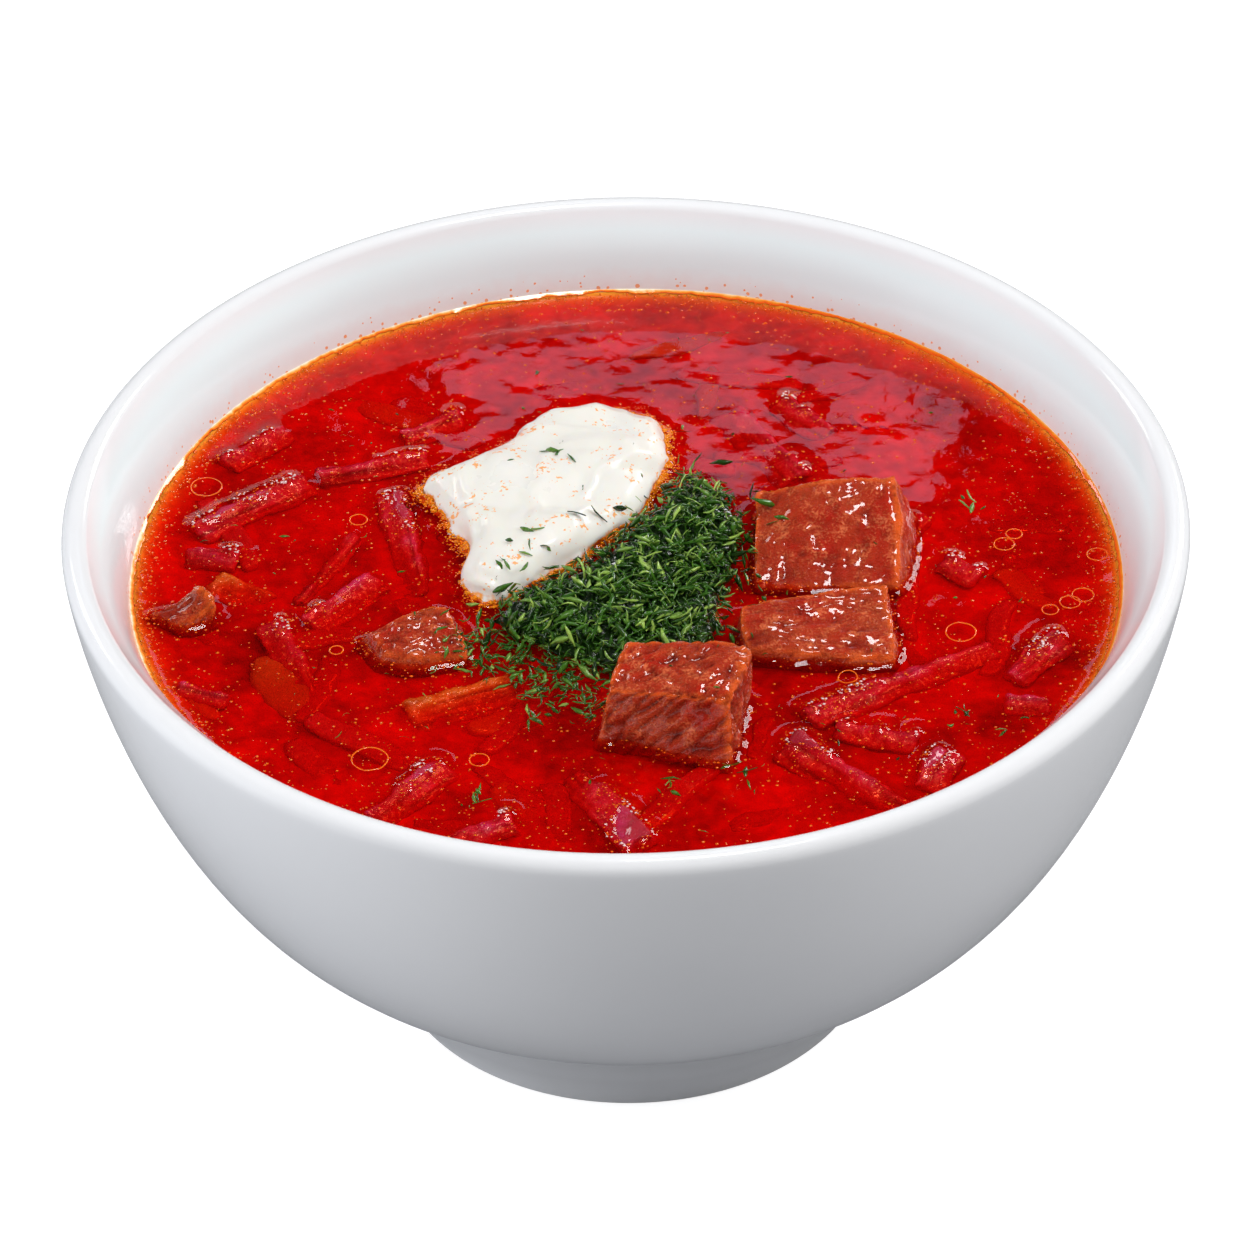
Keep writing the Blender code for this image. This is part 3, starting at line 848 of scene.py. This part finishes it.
def scatterStrays(bm, tones, rng):
    for x, y in dill["strayPlaces"]:
        nearHeap = -26 < x < -4 and -32 < y < -12
        spread = (2.4 if nearHeap else 1.2) * mm
        for _ in range(rng.randint(26, 40) if nearHeap else rng.randint(2, 6)):
            hit, normal = restOn(garnishTree, x * mm + rng.gauss(0, spread), y * mm + rng.gauss(0, spread))
            made = addFlake(bm, hit + normal * 0.12 * mm, normal, rng, 0.8, 0.12)
            tones += [unit(rng.gauss(0.45, 0.2))] * len(made)
    for _ in range(dill["strays"]):
        turn, reach = rng.uniform(0, 2 * math.pi), dill["strayReach"] * math.sqrt(rng.random())
        hit, normal = restOn(garnishTree, *polar(reach, turn))
        made = addFlake(bm, hit + normal * 0.05 * mm, normal, rng, rng.uniform(0.2, 0.5), 0.08)
        tones += [unit(rng.gauss(0.35, 0.2))] * len(made)


rng = random.Random(41)
bm = bmesh.new()
tones = []
scatterHeap(bm, tones, rng)
scatterStrays(bm, tones, rng)
finishPiece(joinedPiece("choppedHerbs", bm, tones), dillMaterial("choppedDill", 1.0), "herbs")
print("herbs scattered:", dill["flakes"], "flakes")


broth = {
    "grid": 264,
    "wallRise": 0.65 * mm,
    "wallRun": 1.0 * mm,
    "pieceRise": 0.95 * mm,
    "pieceRun": 0.95 * mm,
    "ripple": 0.065 * mm,
    "overlap": 0.3 * mm,
    "film": ((1.0, 0.97, 0.95), (1.0, 0.86, 0.78)),
    "absorption": (0.975, 0.50, 0.25),
    "density": 1600.0,
    "coreDepth": 2.5 * mm,
    "coreInset": 0.3 * mm,
    "shelf": 2.85 * mm,
    "shelfRun": 2.8 * mm,
    "shallowRun": 1.5 * mm,
    "coreGrid": 150,
    "coreRed": (0.94, 0.060, 0.010),
    "coreDark": (0.31, 0.007, 0.003),
    "shallow": (0.98, 0.520, 0.060),
}


def waterline(thing):  # points where a piece crosses the broth's level
    cut = bmesh.new()
    cut.from_mesh(thing.data)
    result = bmesh.ops.bisect_plane(
        cut, geom=cut.verts[:] + cut.edges[:] + cut.faces[:], plane_co=(0, 0, level), plane_no=(0, 0, 1)
    )
    found = [item.co.copy() for item in result["geom_cut"] if isinstance(item, bmesh.types.BMVert)]
    cut.free()
    return found


shorePoints = [p for thing in solids for p in waterline(thing)]
shore = kdTree(shorePoints)
wallRadius = innerPoint(stationAt(level + broth["wallRise"])).x


def brothHeight(x, y):
    r = math.hypot(x, y)
    rise = broth["wallRise"] * math.exp(-max(wallRadius - r, 0.0) / broth["wallRun"])
    gap = shore.find(Vector((x, y, level)))[2]
    rise += broth["pieceRise"] * math.exp(-gap / broth["pieceRun"]) * (1 - rise / broth["wallRise"])
    at = Vector((x, y, 0.0))
    ripple = noise.noise(at / (17 * mm)) + 0.5 * noise.noise(at / (7 * mm) + Vector((3, 1, 0)))
    ripple += 0.22 * noise.noise(at / (2.6 * mm) + Vector((1, 9, 0)))
    return level + rise + ripple * broth["ripple"]


def discPoint(i, j, count, radius):
    u, v = 2 * i / count - 1, 2 * j / count - 1
    return radius * u * math.sqrt(1 - v * v / 2), radius * v * math.sqrt(1 - u * u / 2)


def pooled(name, count, radius, heightAt, side):  # a closed body with a gridded top, over a turned side
    verts, faces = [], []
    for j in range(count + 1):
        for i in range(count + 1):
            x, y = discPoint(i, j, count, radius)
            verts.append((x, y, heightAt(x, y)))
    for j in range(count):
        for i in range(count):
            a = j * (count + 1) + i
            faces.append((a, a + 1, a + count + 2, a + count + 1))
    width = count + 1
    rim = [i for i in range(count)] + [j * width + count for j in range(count)]
    rim += [count * width + i for i in range(count, 0, -1)] + [j * width for j in range(count, 0, -1)]
    before = rim
    for point in side:
        ring = []
        for index in rim:
            x, y, _ = verts[index]
            share = point.x / math.hypot(x, y)
            ring.append(len(verts))
            verts.append((x * share, y * share, point.y))
        for k in range(len(rim)):
            n = (k + 1) % len(rim)
            faces.append((before[n], before[k], ring[k], ring[n]))
        before = ring
    bottom = len(verts)
    verts.append((0.0, 0.0, side[-1].y))
    for k in range(len(rim)):
        faces.append((before[(k + 1) % len(rim)], before[k], bottom))
    mesh = bpy.data.meshes.new(name)
    mesh.from_pydata(verts, [], faces)
    mesh.update()
    return linkMesh(name, mesh)


def sideProfile(extra, top, steps):
    start = stationAt(top)
    stations = [start + (0.97 - start) * i / steps for i in range(1, steps + 1)]
    return [innerPoint(station, extra) for station in stations]


def brothMaterial():
    material, tree, shader = newMaterial("beetBroth")
    film = mottleMask(tree, 120.0, 900.0, 0.35, 2.5)
    finishShader(tree, shader, joinColour(tree, film, *broth["film"]), film, 0.0, 0.02)
    bumpFrom(tree, shader, mottleMask(tree, 260.0, 900.0, 0.25, 1.2), 0.12, 0.15 * mm)
    setInputs(shader, Transmission_Weight=1.0, IOR=1.33)
    path = place(tree, "ShaderNodeLightPath")
    straight = mathNode(tree, "MAXIMUM", path.outputs["Is Shadow Ray"], path.outputs["Is Diffuse Ray"])
    clear = setInputs(place(tree, "ShaderNodeBsdfTransparent"), Color=(0.97, 0.97, 0.97, 1.0))
    mixer = mixShaders(tree, straight, shader, clear)
    depth = place(tree, "ShaderNodeVolumeAbsorption")
    setInputs(depth, Color=(*broth["absorption"], 1.0), Density=broth["density"])
    out = tree.nodes["Material Output"]
    tree.links.new(mixer.outputs[0], out.inputs["Surface"])
    tree.links.new(depth.outputs[0], out.inputs["Volume"])
    return material


def depthsMaterial():
    material, tree, shader = newMaterial("brothDepths")
    cloud = mottleMask(tree, 95.0, 480.0, 0.35, 2.9)
    tint = joinColour(tree, cloud, broth["coreRed"], broth["coreDark"])
    edgeGlowed = joinColour(tree, storedMask(tree, "shallow"), tint, broth["shallow"])
    tree.links.new(edgeGlowed, shader.inputs["Base Color"])
    bumpFrom(tree, shader, cloud, 0.4, 0.6 * mm)
    setInputs(shader, Roughness=0.8, Specular_IOR_Level=0.1)
    return material


beetBroth = brothMaterial()
brothPiece = pooled(
    "brothPool", broth["grid"], wallRadius + broth["overlap"], brothHeight,
    sideProfile(-broth["overlap"], level, 8),
)
finishPiece(brothPiece, beetBroth, "broth", "broth")


def coreHeight(x, y):
    lump = noise.noise(Vector((x, y, 0)) / (7 * mm)) + 0.5 * noise.noise(Vector((x, y, 5)) / (3 * mm))
    inward = max(coreRadius - math.hypot(x, y), 0.0)
    depth = broth["coreDepth"] - broth["shelf"] * math.exp(-inward / broth["shelfRun"])
    return level - depth + lump * 0.5 * mm * min(1.0, inward / (4 * mm))


coreTop = level - broth["coreDepth"] + broth["shelf"]
coreRadius = innerPoint(stationAt(coreTop), broth["coreInset"]).x
coreSide = sideProfile(broth["coreInset"], coreTop, 5)
depths = pooled("brothDepths", broth["coreGrid"], coreRadius, coreHeight, coreSide)
inward = coreRadius - np.hypot(*points(depths.data)[:, :2].T)
storeMask(depths.data, "shallow", np.exp(-np.maximum(inward, 0) / broth["shallowRun"]))
finishPiece(depths, depthsMaterial(), "broth")
print("broth poured:", len(brothPiece.data.polygons), "faces")

sunken = {  # the ends in mm, the width and thickness, and how deep each end lies
    "rings": 26,
    "around": 20,
    "beet": (
        ((-49, -37), (-41, -48), 4.6, 3.6, 1.4, 2.5), ((53.5, 13), (67, 12), 4.2, 3.4, 2.2, 1.9),
        ((-12, -47), (-8, -61), 4.4, 3.6, 1.8, 2.5), ((-20, 46), (-6, 50), 4.6, 3.4, 2.7, 2.3),
        ((34, 42), (46, 34), 4.4, 3.4, 2.5, 2.9), ((-66, -4), (-60, -14), 4.2, 3.4, 2.5, 2.1),
        ((14, -58), (26, -52), 4.4, 3.4, 2.1, 2.9), ((64, -2), (56, 6), 3.8, 3.2, 2.8, 2.3),
    ),
    "carrot": (
        ((-23, -35), (-10, -31), 6.0, 3.6, 1.5, 2.3), ((-19, -47), (-8, -60), 7.6, 3.6, 1.8, 2.9),
        ((54, 1), (63.5, -7), 5.4, 3.4, 1.7, 2.1), ((-43, 47), (-26, 38), 5.2, 3.4, 2.1, 1.8),
        ((-63, -26), (-59, -31), 3.4, 2.6, 1.6, 1.9),
    ),
    "potato": (
        ((-54, -17), (-46, -32), 8.6, 3.8, 1.4, 2.3), ((30, 50), (44, 44), 7.0, 4.0, 2.5, 3.1),
        ((40, -52), (50, -46), 7.0, 4.0, 2.3, 2.9),
    ),
    "potatoPale": (0.62, 0.50, 0.20),
    "potatoDeep": (0.50, 0.36, 0.12),
}


def addSunken(bm, first, second, width, thick, depthFirst, depthSecond, seed, taper):
    start = Vector((first[0] * mm, first[1] * mm, level - depthFirst * mm - thick * mm / 2))
    end = Vector((second[0] * mm, second[1] * mm, level - depthSecond * mm - thick * mm / 2))
    along = (end - start).normalized()
    side = Vector((-along.y, along.x, 0)).normalized()
    up = along.cross(side) * -1
    if up.z < 0:
        up = -up
    rings, count = [], sunken["rings"]
    for i in range(count + 1):
        share = i / count
        centre = start.lerp(end, share) + side * noise.noise(Vector((seed, share * 2, 0))) * 1.4 * mm
        close = min(share, 1 - share) * (end - start).length
        roundness = min(1.0, 0.72 + 0.28 * math.sqrt(min(close / (0.8 * mm), 1.0)))
        ring = []
        for angle in turns(sunken["around"]):
            c, s = math.cos(angle), math.sin(angle)
            across = math.copysign(abs(c) ** 0.45, c) * width * mm / 2 * (1 - taper * (2 * share - 1) ** 2)
            high = math.copysign(abs(s) ** 0.45, s) * thick * mm / 2
            point = centre + (side * across + up * high) * roundness
            push = noise.noise(point / (1.8 * mm) + Vector((seed, 0, 0))) * 0.3 * mm
            push += noise.noise(Vector((angle * 3, share * 3, seed))) * 0.2 * mm
            ring.append(bm.verts.new(point + (point - centre).normalized() * push))
        rings.append(ring)
    bridge(bm, rings)
    for ring in (rings[0], rings[-1]):
        capRing(bm, ring, bm.verts.new(middleOf(ring)))


def sunkenPiece(name, kind, material, slot, extra, seedFor, taper):
    bm = bmesh.new()
    rng = random.Random(seedFor)
    specs = list(sunken[kind])
    for _ in range(extra):  # more of them lie deeper, faintly seen
        turn, reach, heading = rng.uniform(0, 6.28), 62 * math.sqrt(rng.random()), rng.uniform(0, 3.14)
        x, y = polar(reach, turn)
        dx, dy = polar(rng.uniform(5, 10), heading)
        if max(math.hypot(x + dx, y + dy), math.hypot(x - dx, y - dy)) > 70:
            continue
        depth = rng.uniform(1.2, 2.2)
        width, slope = rng.uniform(3, 5), rng.uniform(-0.8, 0.8)
        specs.append(((x - dx, y - dy), (x + dx, y + dy), width, 2.6, depth, depth + slope))
    for seed, spec in enumerate(specs):
        addSunken(bm, *spec, 2.3 * seed + 0.7, taper)
    return finishPiece(joinedPiece(name, bm), material, slot)


cookedPotato = vegetableMaterial(
    "cookedPotato", sunken["potatoPale"], sunken["potatoDeep"], sunken["potatoPale"], 0.2
)
sunkenPiece("sunkenBeet", "beet", cookedBeet, "beet", 34, 5, 0.3)
sunkenPiece("sunkenCarrot", "carrot", cookedCarrot, "carrot", 0, 6, 0.6)
sunkenPiece("sunkenPotato", "potato", cookedPotato, "carrot", 3, 8, 0.8)
print("sunken vegetables laid")

oil = {
    "rings": (  # place and radius in mm
        (-36.9, -42.6, 2.6), (-21.3, -43.1, 1.4), (-62.8, 23.4, 2.3), (-39.8, 14.6, 1.3), (-42.3, -17.1, 1.0),
        (56.0, 6.4, 1.5), (57.6, 8.9, 1.2), (69.6, 3.6, 1.5), (66.9, -6.3, 1.6), (64.9, -8.0, 1.5),
        (61.9, -9.8, 1.2), (48.6, -14.8, 2.2), (31.8, -25.3, 1.4),
    ),
    "specks": 10600,
    "atWall": 0.25,  # the share of the specks along the wall, and round the pieces
    "atPieces": 0.20,
    "patch": 8 * mm,
    "speckSizes": (0.09, 0.10, 0.11, 0.13, 0.17, 0.25),
    # near-white pearls along the sticks: painted glints
    "glintBeads": 620,
    "glintWhite": (1.0, 0.90, 0.88),
    "glintPink": (0.95, 0.55, 0.58),
    "orange": (0.95, 0.215, 0.013),
    "deep": (0.88, 0.095, 0.007),
    "bandWidth": 0.50 * mm,
    # on one side the band is pushed to its palest colour: a painted highlight on the meniscus
    "highlightSide": math.radians(150),
    "highlightShift": 0.45,
    "fatAndHighlight": (0.97, 0.860, 0.640),
    "lineLight": (0.95, 0.560, 0.200),
    "line": (0.92, 0.280, 0.020),
    "lineDeep": (0.86, 0.110, 0.008),
}


def addRing(bm, x, y, radius, seed):
    rings = []
    for angle in turns(40):
        out = Vector((math.cos(angle), math.sin(angle), 0))
        wobble = 1 + 0.05 * noise.noise(Vector((out.x * 2, out.y * 2, seed)))
        centre = Vector((x, y, 0)) + out * radius * wobble
        width = (0.11 + 0.05 * noise.noise(Vector((out.x, out.y, seed * 3)))) * mm
        centre.z = brothHeight(centre.x, centre.y) + 0.02 * mm
        ring = []
        for turn in turns(6):
            lift = Vector((0, 0, math.sin(turn) * 0.06 * mm))
            ring.append(bm.verts.new(centre + out * math.cos(turn) * width + lift))
        rings.append(ring)
    bridge(bm, rings, closed=True)


def addSpeck(bm, x, y, radius, uneven=0.0):  # a flat drop, and how many points it has
    around = 6 if radius < 0.12 * mm else 9
    narrow = 1 - uneven * noise.noise(Vector((x, y, 1)) / (0.4 * mm))
    twist = 9 * noise.noise(Vector((x, y, 2)) / mm)
    z = brothHeight(x, y)
    top = bm.verts.new((x, y, z + radius * 0.28))
    low = bm.verts.new((x, y, z - radius * 0.3))
    ring = []
    for angle in turns(around):
        along, aside = math.cos(angle) * radius / narrow, math.sin(angle) * radius * narrow
        dx = along * math.cos(twist) - aside * math.sin(twist)
        dy = along * math.sin(twist) + aside * math.cos(twist)
        ring.append(bm.verts.new((x + dx, y + dy, z)))
    for i in range(around):
        n = (i + 1) % around
        bm.faces.new((ring[i], ring[n], top))
        bm.faces.new((ring[n], ring[i], low))
    return around + 2


def addOilBand(bm, tones, around=960, across=7):  # the orange line where the broth climbs the wall
    loops = []
    for angle in turns(around):
        c, s = math.cos(angle), math.sin(angle)
        rough = noise.noise(Vector((c, s, 0)) * 12) + 0.6 * noise.noise(Vector((c, s, 3)) * 50)
        rough += 0.4 * noise.noise(Vector((c, s, 6)) * 160)
        width = oil["bandWidth"] * max(0.3, 1.0 + 0.8 * rough)
        # painted highlight: the band turns pale on one side of the wall
        pale = smoothStep(0.1, 0.5, math.cos(angle - oil["highlightSide"])) * (0.75 + 0.5 * rough)
        top, under = [], []
        for k in range(across + 1):
            share = k / across
            reach = wallRadius + 0.12 * mm - (0.2 * mm + width) * share
            z = brothHeight(reach * c, reach * s)
            lift = 0.05 * mm * math.sin(math.pi * (0.12 + 0.86 * share))
            top.append(bm.verts.new((reach * c, reach * s, z + lift)))
            under.append(bm.verts.new((reach * c, reach * s, z - 0.06 * mm)))
            tones += [share - oil["highlightShift"] * pale] * 2
        loops.append(top + under[::-1])
    bridge(bm, loops, closed=True)


def addBleed(bm, tones, rng):  # orange grains that creep out from the cream in a lace
    tree = heightTree([dollop])
    middle = sum((Vector(p) for p in points(dollop.data)), Vector()) / len(dollop.data.vertices)
    placed = 0
    while placed < cream["grains"]:
        angle = rng.uniform(0, 2 * math.pi)
        out = Vector((math.cos(angle), math.sin(angle), 0))
        hit = tree.ray_cast(Vector((middle.x, middle.y, level)) + out * 60 * mm, -out)[0]
        spread = max(0.15, 0.75 + 0.9 * noise.noise(out * 2.6) + 0.7 * noise.noise(out * 9))
        away = rng.expovariate(1 / (cream["bleedReach"] * spread)) - 0.5 * mm
        at = hit + out * away + Vector((rng.gauss(0, 0.3), rng.gauss(0, 0.3), 0)) * mm
        lace = noise.noise(at / (1.3 * mm)) + 0.6 * noise.noise(at / (0.55 * mm))
        if away > 3.2 * cream["bleedReach"] or lace < rng.uniform(-0.5, 0.3) + 0.10 * away / mm:
            continue
        radius = rng.uniform(0.10, 0.30) * mm * (1.15 - 0.25 * min(away / mm, 3.0))
        made = addSpeck(bm, at.x, at.y, radius, 0.35)
        tones += [unit(0.15 + 0.28 * away / mm + rng.gauss(0, 0.15))] * made
        placed += 1


def oilMaterial(name, cloud, colourFrom, high):
    material, tree, shader = newMaterial(name)
    mask = mottleMask(tree, *cloud)
    finishShader(tree, shader, colourFrom(tree, mask), mask, 0.05, high)
    bumpFrom(tree, shader, mask, 0.2, 0.1 * mm)
    setInputs(shader, Coat_Weight=0.6, Coat_Roughness=0.04)
    return material


def tintedOil(name, light, deep, stored=None):
    def colourFrom(tree, mask):
        return joinColour(tree, storedMask(tree, stored) if stored else mask, light, deep)

    return oilMaterial(name, (300.0, 1800.0, 0.4, 2.6), colourFrom, 0.15)


def lineColour(tree, mask):  # from pale fat and a painted highlight at the wall to deep orange
    wander = mathNode(tree, "MULTIPLY_ADD", mask, 0.35, storedMask(tree, "tone"))
    stops = ((0.02, "fatAndHighlight"), (0.22, "lineLight"), (0.50, "line"), (0.85, "lineDeep"))
    return rampColour(tree, wander, *[(share, oil[tone]) for share, tone in stops])


def addSpecks(bm, rng):  # along the wall, round the pieces, and in patches over the rest
    placed = 0
    while placed < oil["specks"]:
        turn = rng.uniform(0, 2 * math.pi)
        kind = rng.random()
        radius = rng.choice(oil["speckSizes"]) * rng.uniform(0.85, 1.2) * mm
        if kind < oil["atWall"]:
            x, y = polar(wallRadius - 0.7 * mm - rng.expovariate(1 / (1.4 * mm)), turn)
        elif kind < oil["atWall"] + oil["atPieces"]:
            near = shorePoints[rng.randrange(len(shorePoints))]
            dx, dy = polar(0.4 * mm + rng.expovariate(1 / (1.3 * mm)), turn)
            x, y = near.x + dx, near.y + dy
            radius *= 0.8
        else:
            x, y = polar(74 * mm * math.sqrt(rng.random()), turn)
            radius *= 0.88
            if noise.noise(Vector((x, y, 0)) / oil["patch"]) < rng.uniform(-0.5, 0.25):
                continue
        if math.hypot(x, y) > wallRadius - 0.5 * mm:
            continue
        addSpeck(bm, x, y, radius)
        placed += 1


def addGlintBeads(bm, rng):  # pearls of fat along the sticks, coloured near-white as painted glints
    stickShore = [p for thing in solids if "Stick" in thing.name for p in waterline(thing)]
    for _ in range(oil["glintBeads"]):
        near = stickShore[rng.randrange(len(stickShore))]
        x, y = near.x + rng.gauss(0, 0.25 * mm), near.y + rng.gauss(0, 0.25 * mm)
        if noise.noise(Vector((x, y, 7)) / (3.5 * mm)) > rng.uniform(-0.25, 0.15):
            addSpeck(bm, x, y, rng.uniform(0.11, 0.25) * mm, 0.4)


bleed, tones = bmesh.new(), []
addBleed(bleed, tones, random.Random(29))
stainedOil = tintedOil("stainedOil", cream["bleed"], cream["bleedDeep"], "tone")
finishPiece(joinedPiece("creamBleed", bleed, tones), stainedOil, "cream")

band, tones = bmesh.new(), []
addOilBand(band, tones)
lineOil = oilMaterial("oilLine", (400.0, 2200.0, 0.4, 2.0), lineColour, 0.16)
finishPiece(joinedPiece("oilLineAtWall", band, tones), lineOil, "broth")

rng = random.Random(7)
drops, glintBeads = bmesh.new(), bmesh.new()
for seed, (x, y, radius) in enumerate(oil["rings"]):
    addRing(drops, x * mm, y * mm, radius * mm, seed)
addSpecks(drops, rng)
addGlintBeads(glintBeads, rng)
glintOil = tintedOil("paintedGlintOil", oil["glintWhite"], oil["glintPink"])
finishPiece(joinedPiece("paintedGlintPearls", glintBeads), glintOil, "broth")
beetOil = tintedOil("beetOil", oil["orange"], oil["deep"])
finishPiece(joinedPiece("oilRingsAndSpecks", drops), beetOil, "broth")
print("oil dropped:", oil["specks"], "specks")


def newLight(name, at, size, watts, colour=(1.0, 1.0, 1.0), aim=(0.0, 0.0, 0.06), sizeY=None, matt=False):
    data = setAll(bpy.data.lights.new(name, "AREA"), size=size, energy=watts, color=colour)
    if sizeY:
        setAll(data, shape="RECTANGLE", size_y=sizeY)
    lamp = bpy.data.objects.new(name, data)
    bpy.context.scene.collection.objects.link(lamp)
    lamp.location = at
    lamp.rotation_euler = (Vector(aim) - Vector(at)).to_track_quat("-Z", "Y").to_euler()
    lamp.visible_camera = False
    lamp.visible_glossy = not matt  # a matt light gives no highlight
    return lamp


studio = {
    "overhead": dict(at=(0.04, 0.05, 1.30), size=0.9, watts=4.0, matt=True),
    "topGloss": dict(at=(0.12, 0.16, 1.20), size=0.20, watts=2.4),
    "front": dict(at=(0.0, -1.10, 0.95), size=0.8, watts=5.2, matt=True),
    "left": dict(at=(-1.20, -0.20, 0.36), size=0.8, watts=12.8, colour=(0.94, 0.965, 1.0), matt=True),
    "right": dict(at=(1.20, -0.10, 0.85), size=0.8, watts=12.6, matt=True),
    "keyBackRight": dict(at=(0.78, 1.02, 0.78), size=0.24, sizeY=0.72, watts=5.0),
    "keyBackLeft": dict(at=(-0.85, 0.85, 0.80), size=0.30, watts=1.4),
    "card": dict(at=(0.02, 1.20, 0.905), size=0.19, sizeY=0.055, watts=0.062, colour=(0.55, 0.74, 1.0)),
}
for name, setting in studio.items():
    newLight(name, **setting)

world = bpy.data.worlds.new("studioRoom")
bpy.context.scene.world = world
world.use_nodes = True
setInputs(world.node_tree.nodes["Background"], Color=(1.0, 1.0, 1.0, 1.0), Strength=0.02)

floorLook = {
    "size": 6.0,
    "drop": 0.2 * mm,
    "pale": (0.35, 0.355, 0.37),
    "dim": (0.33, 0.335, 0.35),
    "glow": 0.85,
}


def floorMaterial():  # lit a little from within where the camera sees it
    material, tree, shader = newMaterial("paleFloor")
    paint = joinColour(tree, mottleMask(tree, 3.0, 60.0, 0.2, 0.6), floorLook["pale"], floorLook["dim"])
    tree.links.new(paint, shader.inputs["Base Color"])
    setInputs(shader, Roughness=0.9, Specular_IOR_Level=0.1)
    glow = setInputs(place(tree, "ShaderNodeEmission"), Strength=floorLook["glow"])
    path = place(tree, "ShaderNodeLightPath")
    both = place(tree, "ShaderNodeAddShader")
    tree.links.new(shader.outputs[0], both.inputs[0])
    tree.links.new(glow.outputs[0], both.inputs[1])
    gate = mixShaders(tree, path.outputs["Is Camera Ray"], shader, both)
    tree.links.new(gate.outputs[0], tree.nodes["Material Output"].inputs["Surface"])
    return material


floorMesh = bpy.data.meshes.new("studioFloor")
half = floorLook["size"] / 2
corners = [(x * half, y * half, 0) for x, y in ((-1, -1), (1, -1), (1, 1), (-1, 1))]
floorMesh.from_pydata(corners, [], [(0, 1, 2, 3)])
floor = linkMesh("studioFloor", floorMesh)
floor.location.z = -floorLook["drop"]
floorMesh.materials.append(floorMaterial())

camera = {
    "at": Vector((0.0, -0.81796, 0.68982)),
    "aim": Vector((0.0, 0.0, 0.0618)),
    "roll": 0.0136,
    "lens": 199.8,
}
view = setAll(bpy.data.cameras.new("viewOfBowl"), lens=camera["lens"], sensor_width=36.0)
setAll(view, sensor_fit="HORIZONTAL", clip_start=0.01, clip_end=20.0)
eye = bpy.data.objects.new("viewOfBowl", view)
bpy.context.scene.collection.objects.link(eye)
back = (camera["at"] - camera["aim"]).normalized()
right = Vector((0, 0, 1)).cross(back).normalized()
up = back.cross(right)
across = right * math.cos(camera["roll"]) - up * math.sin(camera["roll"])
upward = right * math.sin(camera["roll"]) + up * math.cos(camera["roll"])
eye.matrix_world = Matrix.Translation(camera["at"]) @ Matrix((across, upward, back)).transposed().to_4x4()
bpy.context.scene.camera = eye

scene = bpy.context.scene
scene.view_settings.view_transform = "Standard"
scene.view_settings.look = "None"
scene.cycles.use_denoising = True
setAll(scene.cycles, max_bounces=7, diffuse_bounces=3, glossy_bounces=3, transmission_bounces=5)
setAll(scene.cycles, transparent_max_bounces=10, sample_clamp_indirect=6.0)
setAll(scene.cycles, caustics_reflective=False, caustics_refractive=False)

print("studio set")
